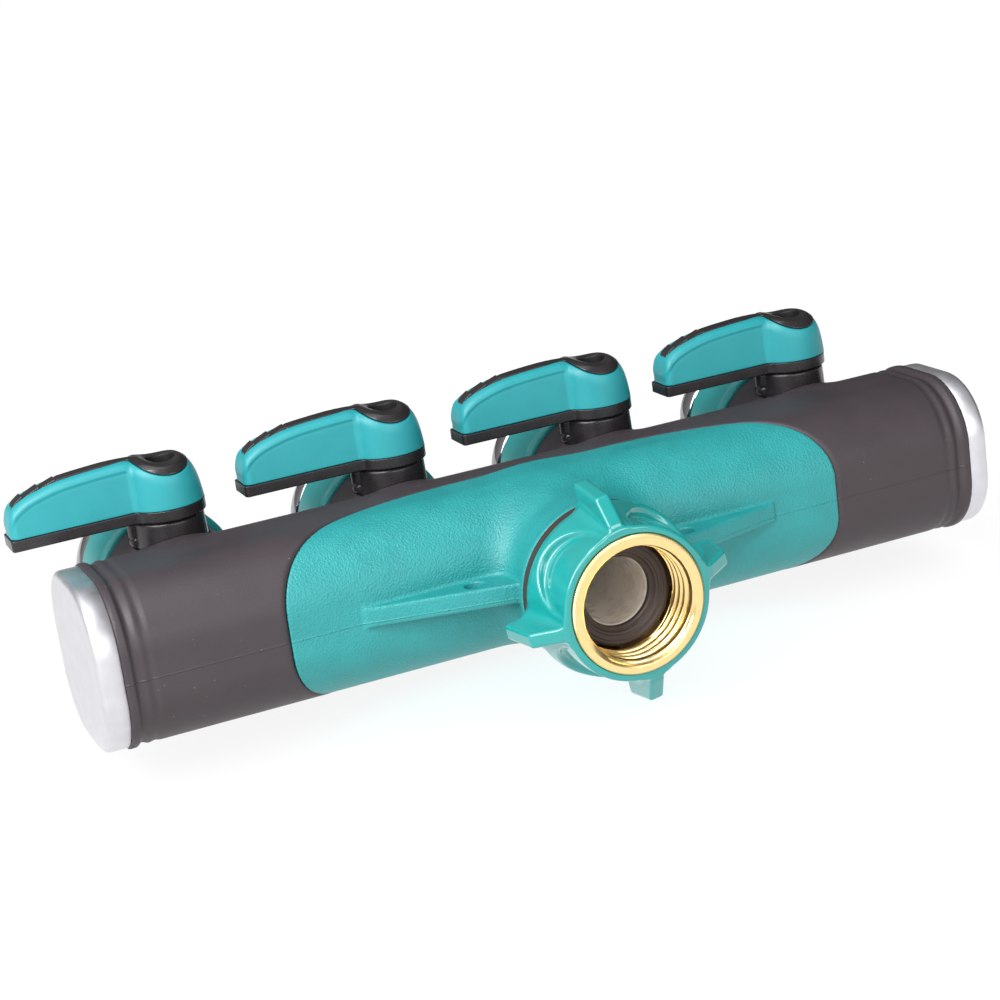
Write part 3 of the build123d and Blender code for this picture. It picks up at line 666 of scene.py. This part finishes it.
def lever_plan(x, y, tip=ARM_TIP_ROUND):
    """Lever seen from above: arm with a rounded tip running into the round hub."""
    qx = np.abs(x + LEVER_REACH / 2) - (LEVER_REACH / 2 - tip)
    qy = np.abs(y) - (ARM_HALF - tip)
    arm = np.hypot(np.maximum(qx, 0), np.maximum(qy, 0)) + np.minimum(np.maximum(qx, qy), 0) - tip
    return smooth_min(arm, np.hypot(x, y) - HUB_R, HUB_FILLET)


def lever_body(x, y, z, below):
    """Whole lever above its base strip, with a shallow panel in each side."""
    side = outline_field(SIDE_OUTLINE, x, z)
    shoulder = step_up(x, *SHOULDER)
    draft = LEVER_DRAFT * (z - GRIP_BOTTOM)
    panel = step_up(-side, *PANEL_INSET) * (1 - step_up(x, *PANEL_END))
    plan = lever_plan(x, y) + draft + PANEL_DEPTH * panel
    return smooth_max(plan, side + below, TOP_ROUND + HUB_EXTRA_ROUND * shoulder)


def black_region(x, y, z):
    """Where the lever is core rather than grip: spine on top and saddle on the hub."""
    tip = np.sqrt(np.clip((x - SPINE_TIP_X) / SPINE_TIP_ROUND, 0.001, 1))
    width = SPINE_HALF * tip - SPINE_NARROWING * step_up(x, *SPINE_NARROWS)
    spine = np.maximum(np.abs(y) - width, SPINE_TIP_X - x)
    spine = np.maximum(spine, x - SADDLE_X)
    spine = np.maximum(spine, SPINE_TIP_Z - z)
    saddle = np.hypot(x - SADDLE_X, z - SADDLE_Z) - SADDLE_R
    return smooth_min(spine, saddle, 0.8)


def spine_relief(x):
    """Proud height of the black spine: three scales near the tip, then a plain strip."""
    scale = ((x - SCALE_START) / SCALE_PITCH) % 1.0
    ridged = (1 - step_up(x, *SCALES_END)) * (SCALE_RISE * scale - SCALE_DROP)
    return SPINE_PROUD + ridged


def grip_field(x, y, z):
    """Soft teal grip."""
    body = lever_body(x, y, z, GRIP_BELOW)
    body = smooth_max(body, -black_region(x, y, z) + 0.05, MEETING_ROUND)
    body = smooth_max(body, GRIP_BOTTOM - z, GRIP_FOOT_ROUND)
    core = np.hypot(x, y) - CORE_R - CORE_GAP
    return np.maximum(body, -core)


def core_piece_field(x, y, z):
    """Black lever core: base strip, spine, saddle and hub with its screw hole."""
    plan = lever_plan(x, y, BASE_TIP_ROUND) + 0.1
    base = smooth_max(plan, slab(z, LEVER_BOTTOM, GRIP_BOTTOM - 0.05), BASE_ROUND)
    upper = lever_body(x, y, z, GRIP_BELOW - spine_relief(x))
    upper = smooth_max(upper, black_region(x, y, z), MEETING_ROUND)
    dish = smooth_max(lever_body(x, y, z, 0.7), np.hypot(x, y) - CORE_R, 0.3)
    upper = smooth_min(upper, dish, BASE_ROUND)
    upper = np.maximum(upper, LEVER_BOTTOM + 1 - z)
    field = smooth_min(base, upper, BASE_ROUND)
    dip = np.hypot(x - DIP_X, z - DIP_Z) - DIP_R
    field = smooth_max(field, -dip, DIP_ROUND)
    hole = np.hypot(x - HOLE_X, y) - HOLE_R
    hole = np.maximum(hole, SCREW_SEAT - z)
    return smooth_max(field, -hole, MEETING_ROUND)


# ---------------------------------------------------------------- end caps
CAP_EDGE = 1.5
CAP_WALL = 2.2
CAP_BEVEL = 0.15
CAP_ARC_STEPS = 8
CAP_INSETS = [4.0, 9.0, 13.9]  # loops across the flat face


def section_loop(inset, count=32):
    """Points round the body's section, pulled in by inset."""
    radius = BODY_CORNER - inset
    half_y = BODY_DEPTH / 2 - BODY_CORNER
    half_z = BODY_HEIGHT / 2 - BODY_CORNER
    loop = []
    for quadrant, (sy, sz) in enumerate(((1, 1), (-1, 1), (-1, -1), (1, -1))):
        for step in range(count + 1):
            a = quadrant * pi / 2 + step / count * pi / 2
            loop.append((BODY_Y + sy * half_y + radius * cos(a), BODY_Z + sz * half_z + radius * sin(a)))
    return loop


def end_cap(name, side):
    """Thin shell cap with a rounded rim. side is -1 on the left and 1 on the right."""
    inner, outer = SHELL_END, -cap_low[0]
    profile = [(inner, CAP_INSET + CAP_BEVEL), (inner + CAP_BEVEL, CAP_INSET), (outer - CAP_EDGE, CAP_INSET)]
    for step in range(1, CAP_ARC_STEPS + 1):
        a = step / CAP_ARC_STEPS * pi / 2
        profile.append((outer - CAP_EDGE + CAP_EDGE * sin(a), CAP_INSET + CAP_EDGE * (1 - cos(a))))
    profile += [(outer, inset) for inset in CAP_INSETS]
    floor_x = outer - CAP_WALL
    inside = [(floor_x, inset) for inset in (*CAP_INSETS[:0:-1], CAP_WALL)] + [(inner, CAP_WALL)]
    points = []
    for x, inset in profile + inside:
        points += [(side * x, y, z) for y, z in section_loop(inset)]
    cols = len(section_loop(0))
    rows = len(profile) + len(inside)
    faces = []
    for i in range(rows):
        k = (i + 1) % rows
        if i == len(profile) - 1:
            continue
        for j in range(cols):
            m = (j + 1) % cols
            quad = (i * cols + j, i * cols + m, k * cols + m, k * cols + j)
            faces.append(quad if side < 0 else quad[::-1])
    front = tuple((len(profile) - 1) * cols + j for j in range(cols))
    back = tuple(len(profile) * cols + j for j in range(cols))
    faces.append(front if side > 0 else front[::-1])
    faces.append(back[::-1] if side > 0 else back)
    piece = mesh_object(name, np.array(points), faces)
    tidy = bmesh.new()
    tidy.from_mesh(piece.data)
    bmesh.ops.recalc_face_normals(tidy, faces=tidy.faces)
    tidy.to_mesh(piece.data)
    tidy.free()
    return piece


# ---------------------------------------------------------------- materials
def new_material(name):
    """Empty node material with its shader and object coordinates."""
    material = bpy.data.materials.new(name)
    material.use_nodes = True
    tree = material.node_tree
    shader = tree.nodes["Principled BSDF"]
    coords = tree.nodes.new("ShaderNodeTexCoord")
    return material, tree, shader, coords.outputs["Object"]


def noise(tree, coords, size_mm, detail=2.0, stretch=None):
    """Noise texture whose features are about size_mm across."""
    node = tree.nodes.new("ShaderNodeTexNoise")
    node.inputs["Scale"].default_value = 1 / (size_mm * MM)
    node.inputs["Detail"].default_value = detail
    if stretch:
        mapping = tree.nodes.new("ShaderNodeMapping")
        mapping.inputs["Scale"].default_value = stretch
        tree.links.new(coords, mapping.inputs["Vector"])
        coords = mapping.outputs["Vector"]
    tree.links.new(coords, node.inputs["Vector"])
    return node.outputs["Fac"]


def cells(tree, coords, size_mm):
    """Rounded cells about size_mm across, for pebbled grain."""
    node = tree.nodes.new("ShaderNodeTexVoronoi")
    node.feature = "SMOOTH_F1"
    node.inputs["Scale"].default_value = 1 / (size_mm * MM)
    node.inputs["Smoothness"].default_value = 0.7
    tree.links.new(coords, node.inputs["Vector"])
    return node.outputs["Distance"]


def spread(tree, value, low, high, start=0.3, end=0.7):
    """Value from low to high as the texture goes from start to end."""
    node = tree.nodes.new("ShaderNodeMapRange")
    node.inputs["From Min"].default_value = start
    node.inputs["From Max"].default_value = end
    node.inputs["To Min"].default_value = low
    node.inputs["To Max"].default_value = high
    tree.links.new(value, node.inputs["Value"])
    return node.outputs["Result"]


def tint(tree, value, dark, light):
    """Colour from dark to light along a texture value."""
    ramp = tree.nodes.new("ShaderNodeValToRGB")
    ramp.color_ramp.elements[0].position = 0.35
    ramp.color_ramp.elements[1].position = 0.65
    ramp.color_ramp.elements[0].color = (*dark, 1)
    ramp.color_ramp.elements[1].color = (*light, 1)
    tree.links.new(value, ramp.inputs["Fac"])
    return ramp.outputs["Color"]


def bump(tree, shader, layers):
    """Stack of bump layers, each (height, depth in mm, strength)."""
    normal = None
    for height, depth_mm, strength in layers:
        node = tree.nodes.new("ShaderNodeBump")
        node.inputs["Distance"].default_value = depth_mm * MM
        node.inputs["Strength"].default_value = strength
        tree.links.new(height, node.inputs["Height"])
        if normal is not None:
            tree.links.new(normal, node.inputs["Normal"])
        normal = node.outputs["Normal"]
    tree.links.new(normal, shader.inputs["Normal"])


def linear(red, green, blue):
    """Scene-linear colour from display values of 0 to 255."""
    out = []
    for value in (red, green, blue):
        c = value / 255
        out.append(c / 12.92 if c <= 0.04045 else ((c + 0.055) / 1.055) ** 2.4)
    return tuple(out)


def scaled(colour, factor):
    """Colour made darker or lighter."""
    return tuple(c * factor for c in colour)


def surface(name, colour, vary, rough, rough_vary, vary_mm=6.0, **sockets):
    """Material with mottled colour and roughness. Returns what later layers need."""
    material, tree, shader, coords = new_material(name)
    cloud = noise(tree, coords, vary_mm, 4.0)
    base = tint(tree, cloud, scaled(colour, 1 - vary), scaled(colour, 1 + vary))
    tree.links.new(base, shader.inputs["Base Color"])
    tree.links.new(spread(tree, cloud, rough - rough_vary, rough + rough_vary), shader.inputs["Roughness"])
    for socket, value in sockets.items():
        shader.inputs[socket.replace("_", " ")].default_value = value
    return material, tree, shader, coords


def parting_line(tree, coords, height_mm, width_mm):
    """Hairline ridge round the body at one height, where the mould halves met."""
    split = tree.nodes.new("ShaderNodeSeparateXYZ")
    tree.links.new(coords, split.inputs["Vector"])
    node = tree.nodes.new("ShaderNodeMapRange")
    node.interpolation_type = "SMOOTHSTEP"
    away = tree.nodes.new("ShaderNodeMath")
    away.operation = "SUBTRACT"
    away.inputs[1].default_value = height_mm * MM
    size = tree.nodes.new("ShaderNodeMath")
    size.operation = "ABSOLUTE"
    tree.links.new(split.outputs["Z"], away.inputs[0])
    tree.links.new(away.outputs[0], size.inputs[0])
    tree.links.new(size.outputs[0], node.inputs["Value"])
    node.inputs["From Min"].default_value = 0
    node.inputs["From Max"].default_value = width_mm * MM
    node.inputs["To Min"].default_value = 1
    node.inputs["To Max"].default_value = 0
    return node.outputs["Result"]


TEAL = linear(30, 138, 139)
TEAL_NUT = linear(8, 142, 139)
TEAL_LEVER = linear(33, 143, 150)
LINE_Z = 0.2
LINE_WIDTH = 0.25
LINE_BUMP = (0.12, 0.9)  # depth in mm and strength


def teal_cover():
    """Pebbled matt teal of the front cover."""
    material, tree, shader, coords = surface("teal_cover", TEAL, 0.05, 0.44, 0.05, Specular_IOR_Level=0.6)
    grain = cells(tree, coords, 0.45)
    fine = noise(tree, coords, 0.25, 3.0)
    line = parting_line(tree, coords, LINE_Z, LINE_WIDTH)
    bump(tree, shader, [(line, *LINE_BUMP), (grain, 0.16, 0.8), (fine, 0.08, 0.55)])
    return material


def teal_smooth(name, colour, rough, coat=0.0):
    """Smooth moulded teal with faint flow marks."""
    gloss = {"Coat_Weight": coat, "Coat_Roughness": 0.06}
    material, tree, shader, coords = surface(name, colour, 0.03, rough, 0.03, **gloss)
    flow = noise(tree, coords, 5.0, 3.0, (1.0, 0.4, 1.0))
    fine = noise(tree, coords, 0.5, 2.0)
    bump(tree, shader, [(flow, 0.05, 0.25), (fine, 0.01, 0.2)])
    return material


def skin_rubber():
    """Soft dark skin with a fine grain and a little dust."""
    colour = linear(57, 49, 53)
    material, tree, shader, coords = surface(
        "skin_rubber", colour, 0.05, 0.5, 0.05, 9.0, Specular_IOR_Level=0.5,
    )
    dust = noise(tree, coords, 0.55, 1.0)
    speck = spread(tree, dust, 0, 0.6, 0.79, 0.82)
    mix = tree.nodes.new("ShaderNodeMix")
    mix.data_type = "RGBA"
    mix.inputs["B"].default_value = (*linear(150, 148, 150), 1)
    base = shader.inputs["Base Color"].links[0].from_socket
    tree.links.new(speck, mix.inputs["Factor"])
    tree.links.new(base, mix.inputs["A"])
    tree.links.new(mix.outputs["Result"], shader.inputs["Base Color"])
    grain = noise(tree, coords, 0.3, 3.0)
    line = parting_line(tree, coords, LINE_Z, LINE_WIDTH)
    bump(tree, shader, [(line, *LINE_BUMP), (grain, 0.08, 0.6)])
    return material


def black_plastic():
    """Satin black moulding with faint scuffs."""
    colour = linear(33, 30, 32)
    material, tree, shader, coords = surface("black_plastic", colour, 0.08, 0.27, 0.07, 3.0)
    scuff = noise(tree, coords, 0.8, 4.0, (0.25, 1.0, 1.0))
    fine = noise(tree, coords, 0.25, 2.0)
    bump(tree, shader, [(scuff, 0.03, 0.35), (fine, 0.02, 0.3)])
    return material


def metal(name, colour, rough, rough_vary, wear_mm=2.0, depth_mm=0.01):
    """Metal with fine handling marks."""
    material, tree, shader, coords = surface(name, colour, 0.03, rough, rough_vary, wear_mm, Metallic=1.0)
    mark = noise(tree, coords, wear_mm / 3, 4.0)
    bump(tree, shader, [(mark, depth_mm, 0.3)])
    return material


def rubber(name, colour, rough):
    """Plain seal rubber with a fine tooth."""
    material, tree, shader, coords = surface(name, colour, 0.08, rough, 0.05, 2.0)
    bump(tree, shader, [(noise(tree, coords, 0.25, 3.0), 0.03, 0.4)])
    return material


def moulded(name, colour, rough, soft=0.0):
    """Plain moulded plastic, a little translucent where soft is above 0."""
    material, tree, shader, coords = surface(name, colour, 0.04, rough, 0.04, 4.0, Subsurface_Weight=soft)
    shader.inputs["Subsurface Radius"].default_value = (0.004, 0.004, 0.003)
    bump(tree, shader, [(noise(tree, coords, 2.0, 2.0), 0.01, 0.2)])
    return material


looks = {
    "teal_cover": teal_cover(),
    "teal_nut": teal_smooth("teal_nut", TEAL_NUT, 0.22, 1.0),
    "teal_collar": teal_smooth("teal_collar", TEAL, 0.38),
    "teal_lever": teal_smooth("teal_lever", TEAL_LEVER, 0.42),
    "soft_grey_skin": skin_rubber(),
    "black_plastic": black_plastic(),
    # Painted shade: near-black plastic on the faces inside the lever's screw hole, standing in for the shade
    # there.
    "painted_shade_well": moulded("painted_shade_well", linear(14, 13, 13), 0.6),
    "silver_cap": metal("silver_cap", linear(218, 217, 221), 0.44, 0.03, 3.0),
    "plated_outlet": metal("plated_outlet", linear(150, 148, 151), 0.07, 0.02),
    "plated_ball": metal("plated_ball", linear(214, 215, 220), 0.12, 0.03),
    "brass": metal("brass", linear(255, 226, 160), 0.2, 0.04, 1.5, 0.02),
    "stem_brass": metal("stem_brass", linear(214, 170, 96), 0.3, 0.05),
    "steel": metal("steel", linear(60, 58, 58), 0.4, 0.06),
    "seal_rubber": rubber("seal_rubber", linear(58, 47, 44), 0.45),
    "white_seat": moulded("white_seat", linear(226, 226, 220), 0.4),
    "grey_core": moulded("grey_core", linear(232, 226, 218), 0.28, 0.25),
}


def finish_piece(piece, slot, body, *nodes):
    """Give a piece its material, its body and the CAD nodes that it stands for."""
    piece.data.materials.clear()
    piece.data.materials.append(looks[slot])
    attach(piece, body)
    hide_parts(*nodes)


# ---------------------------------------------------------------- make the pieces
# Grid steps of the field meshes, in millimetres.
SKIN_STEP = 0.6
COVER_STEP = 0.45
NUT_STEP = 0.3
GRIP_STEP = 0.25
CORE_STEP = 0.22


def make_body():
    low = (-SHELL_END, BODY_FRONT - 1, BODY_Z - BODY_HEIGHT / 2 - 1)
    high = (SHELL_END, BOSS_END, BODY_Z + BODY_HEIGHT / 2 + 1)
    skin = mesh_object("body_skin_soft", *field_mesh(skin_field, low, high, SKIN_STEP))
    finish_piece(skin, "soft_grey_skin", "body", "body_skin")
    low = (-COVER_HALF, NECK_FRONT, BODY_Z - BODY_HEIGHT / 2)
    high = (COVER_HALF, BODY_Y + EDGE_BACK, BODY_Z + BODY_HEIGHT / 2)
    cover = mesh_object("front_cover_pebbled", *field_mesh(cover_field, low, high, COVER_STEP))
    finish_piece(cover, "teal_cover", "body", "front_cover")
    finish_piece(end_cap("cap_left", -1), "silver_cap", "body", "end_cap_left")
    finish_piece(end_cap("cap_right", 1), "silver_cap", "body", "end_cap_right")


def make_nut():
    grip = mesh_object("nut_grip_gloss", *field_mesh(nut_field, nut_low, nut_high, NUT_STEP))
    finish_piece(grip, "teal_nut", "inlet_nut", "nut_grip")
    finish_piece(brass_insert(), "brass", "inlet_nut", "nut_insert")
    finish_piece(hose_washer(), "seal_rubber", "inlet_nut", "inlet_washer")


def make_outlets():
    for number, valve_x in enumerate(VALVE_XS, start=1):
        finish_piece(outlet_fitting(number, valve_x), "plated_outlet", "body", f"outlet_fitting_{number}")
        finish_piece(outlet_collar(number, valve_x), "teal_collar", "body", f"outlet_collar_{number}")


def paint_well_shade(piece, points, faces):
    """Painted shade: a near-black material on the faces inside the lever's screw hole, where shade falls deep in
    the hole.
    """
    piece.data.materials.append(looks["painted_shade_well"])
    centres = points[np.array(faces)].mean(axis=1)
    # Faces inside the hole, above the screw seat, get the painted shade.
    inside = np.hypot(centres[:, 0] - HOLE_X, centres[:, 1]) < HOLE_R + WELL_MARGIN
    inside &= centres[:, 2] > SCREW_SEAT - 1
    piece.data.polygons.foreach_set("material_index", inside.astype(np.int32))


def make_levers():
    low = (-LEVER_REACH - 0.5, -HUB_R - 0.5, LEVER_BOTTOM)
    high = (HUB_R + 0.5, HUB_R + 0.5, LEVER_TOP)
    grip = field_mesh(grip_field, low, high, GRIP_STEP)
    core = field_mesh(core_piece_field, low, high, CORE_STEP)
    low = (-STOP_OUT, -TOWER_REACH, TOWER_FOOT)
    high = (TOWER_REACH, TOWER_REACH, HOUSING_TOP)
    tower = field_mesh(housing_field, low, high, CORE_STEP)
    for number, valve_x in enumerate(VALVE_XS, start=1):
        shift = np.array([valve_x, VALVE_Y, 0.0])
        for name, shape, slot, body, node in (
            ("lever_grip_soft", grip, "teal_lever", f"lever_{number}", "lever_grip"),
            ("lever_core_black", core, "black_plastic", f"lever_{number}", "lever_core"),
            ("stem_tower", tower, "black_plastic", "body", "stem_housing"),
        ):
            points, faces, normals = shape
            piece = mesh_object(f"{name}_{number}", points + shift, faces, normals)
            finish_piece(piece, slot, body, f"{node}_{number}")
            # The lever core also gets painted shade inside its screw hole.
            if node == "lever_core":
                paint_well_shade(piece, points, faces)


def dress_nodes():
    """CAD nodes that stay as they are get the material of their record slot."""
    slots = {s["node"]: s["material_slot"] for s in frame["record"]["subparts"]}
    for name, node in frame["nodes"].items():
        material = looks[slots[name]]
        for slot in node.material_slots:
            slot.link = "OBJECT"
            slot.material = material


dress_nodes()
make_body()
make_nut()
make_outlets()
make_levers()


# ---------------------------------------------------------------- floor, light and camera
FLOOR_SIZE = 6.0
FLOOR_GREYS = (0.45, 0.47)
FLOOR_LIGHT = 5.8


def floor():
    """Pale floor under the lowest point."""
    half = FLOOR_SIZE / 2
    z = cad_box[0][2]
    corners = [(-half, -half, z), (half, -half, z), (half, half, z), (-half, half, z)]
    mesh = bpy.data.meshes.new("floor")
    mesh.from_pydata(corners, [], [(0, 1, 2, 3)])
    piece = bpy.data.objects.new("floor", mesh)
    bpy.context.scene.collection.objects.link(piece)
    material, tree, shader, coords = new_material("floor_white")
    cloud = noise(tree, coords, 400.0, 1.0)
    dark, light = ((grey,) * 3 for grey in FLOOR_GREYS)
    tree.links.new(tint(tree, cloud, dark, light), shader.inputs["Base Color"])
    shader.inputs["Roughness"].default_value = 0.9
    piece.data.materials.append(material)
    light_table(piece)


def light_table(piece):
    """Even light that reaches only the floor, so that it stays pale out to its edge."""
    data = bpy.data.lights.new("floor_light", "SUN")
    data.energy = FLOOR_LIGHT
    data.use_shadow = False
    lamp = bpy.data.objects.new("floor_light", data)
    bpy.context.scene.collection.objects.link(lamp)
    receivers = bpy.data.collections.new("floor_only")
    receivers.objects.link(piece)
    lamp.light_linking.receiver_collection = receivers


def area_light(name, towards, distance, azimuth, elevation, size, power, colour=(1, 1, 1)):
    """Soft box that skips the floor, at an azimuth and elevation in degrees. Azimuth 0 is in front,
    positive to the right."""
    data = bpy.data.lights.new(name, "AREA")
    data.shape = "RECTANGLE"
    data.size, data.size_y = size
    data.energy = power
    data.color = colour
    light = bpy.data.objects.new(name, data)
    az, el = radians(azimuth), radians(elevation)
    away = Vector((sin(az) * cos(el), -cos(az) * cos(el), sin(el)))
    light.location = towards + away * distance
    light.rotation_euler = away.to_track_quat("Z", "Y").to_euler()
    light.visible_camera = False
    bpy.context.scene.collection.objects.link(light)
    all_but_floor = bpy.data.collections.new(f"{name}_receivers")
    all_but_floor.objects.link(bpy.data.objects["floor"])
    all_but_floor.collection_objects[0].light_linking.link_state = "EXCLUDE"
    light.light_linking.receiver_collection = all_but_floor


BRIGHT_SIDE = (-0.82, -0.5, 0.28)
FAR_BRIGHTNESS = 0.08
NEAR_BRIGHTNESS = 0.66
BACKDROP = 1.0


def studio():
    """Surroundings brightest at the front left, with large soft boxes."""
    centre = Vector((0, BODY_Y * MM, 0))
    left_half = Vector((-0.06, BODY_Y * MM, 0))
    area_light("key", left_half, 0.5, -56, 34, (0.4, 0.32), 2.9)
    area_light("front", left_half, 0.62, 12, 16, (0.5, 0.16), 1.0)
    area_light("top", left_half, 0.8, -40, 80, (0.6, 0.4), 1.7, (0.9, 0.97, 1.0))
    area_light("sparkle", centre, 0.9, -34, 52, (0.06, 0.22), 2.6)
    world = bpy.data.worlds.new("studio")
    bpy.context.scene.world = world
    world.use_nodes = True
    tree = world.node_tree
    background = tree.nodes["Background"]
    background.inputs["Strength"].default_value = 1.0
    coords = tree.nodes.new("ShaderNodeTexCoord")
    facing = tree.nodes.new("ShaderNodeVectorMath")
    facing.operation = "DOT_PRODUCT"
    facing.inputs[1].default_value = BRIGHT_SIDE
    tree.links.new(coords.outputs["Generated"], facing.inputs[0])
    front_bright = spread(tree, facing.outputs["Value"], FAR_BRIGHTNESS, NEAR_BRIGHTNESS, -0.7, 0.9)
    path = tree.nodes.new("ShaderNodeLightPath")
    mix = tree.nodes.new("ShaderNodeMix")
    tree.links.new(path.outputs["Is Camera Ray"], mix.inputs["Factor"])
    tree.links.new(front_bright, mix.inputs["A"])
    mix.inputs["B"].default_value = BACKDROP
    tree.links.new(mix.outputs["Result"], background.inputs["Color"])


VIEW_AZIMUTH = radians(-20.95)
VIEW_ELEVATION = radians(16.45)
VIEW_ROLL = radians(-7.75)
VIEW_DISTANCE = 0.5488
AIM_Y = 0.05945
AIM_RIGHT = -0.0063
AIM_UP = 0.0094
LENS = 84.63


def camera():
    """Camera at the chosen angle, aimed a little beside the body's middle."""
    level = cos(VIEW_ELEVATION)
    back = Vector((sin(VIEW_AZIMUTH) * level, -cos(VIEW_AZIMUTH) * level, sin(VIEW_ELEVATION)))
    level_right = (-back).cross(Vector((0, 0, 1))).normalized()
    level_up = level_right.cross(-back)
    right = level_right * cos(VIEW_ROLL) + level_up * sin(VIEW_ROLL)
    up = level_up * cos(VIEW_ROLL) - level_right * sin(VIEW_ROLL)
    data = bpy.data.cameras.new("camera")
    data.lens = LENS
    data.sensor_width = 36.0
    data.clip_start = 0.01
    eye = bpy.data.objects.new("camera", data)
    aim = Vector((0, AIM_Y, 0)) + right * AIM_RIGHT + up * AIM_UP
    turn = Matrix((right, up, back)).transposed().to_4x4()
    eye.matrix_world = Matrix.Translation(aim + back * VIEW_DISTANCE) @ turn
    bpy.context.scene.collection.objects.link(eye)
    bpy.context.scene.camera = eye


floor()
studio()
camera()
bpy.context.scene.view_settings.view_transform = "Standard"
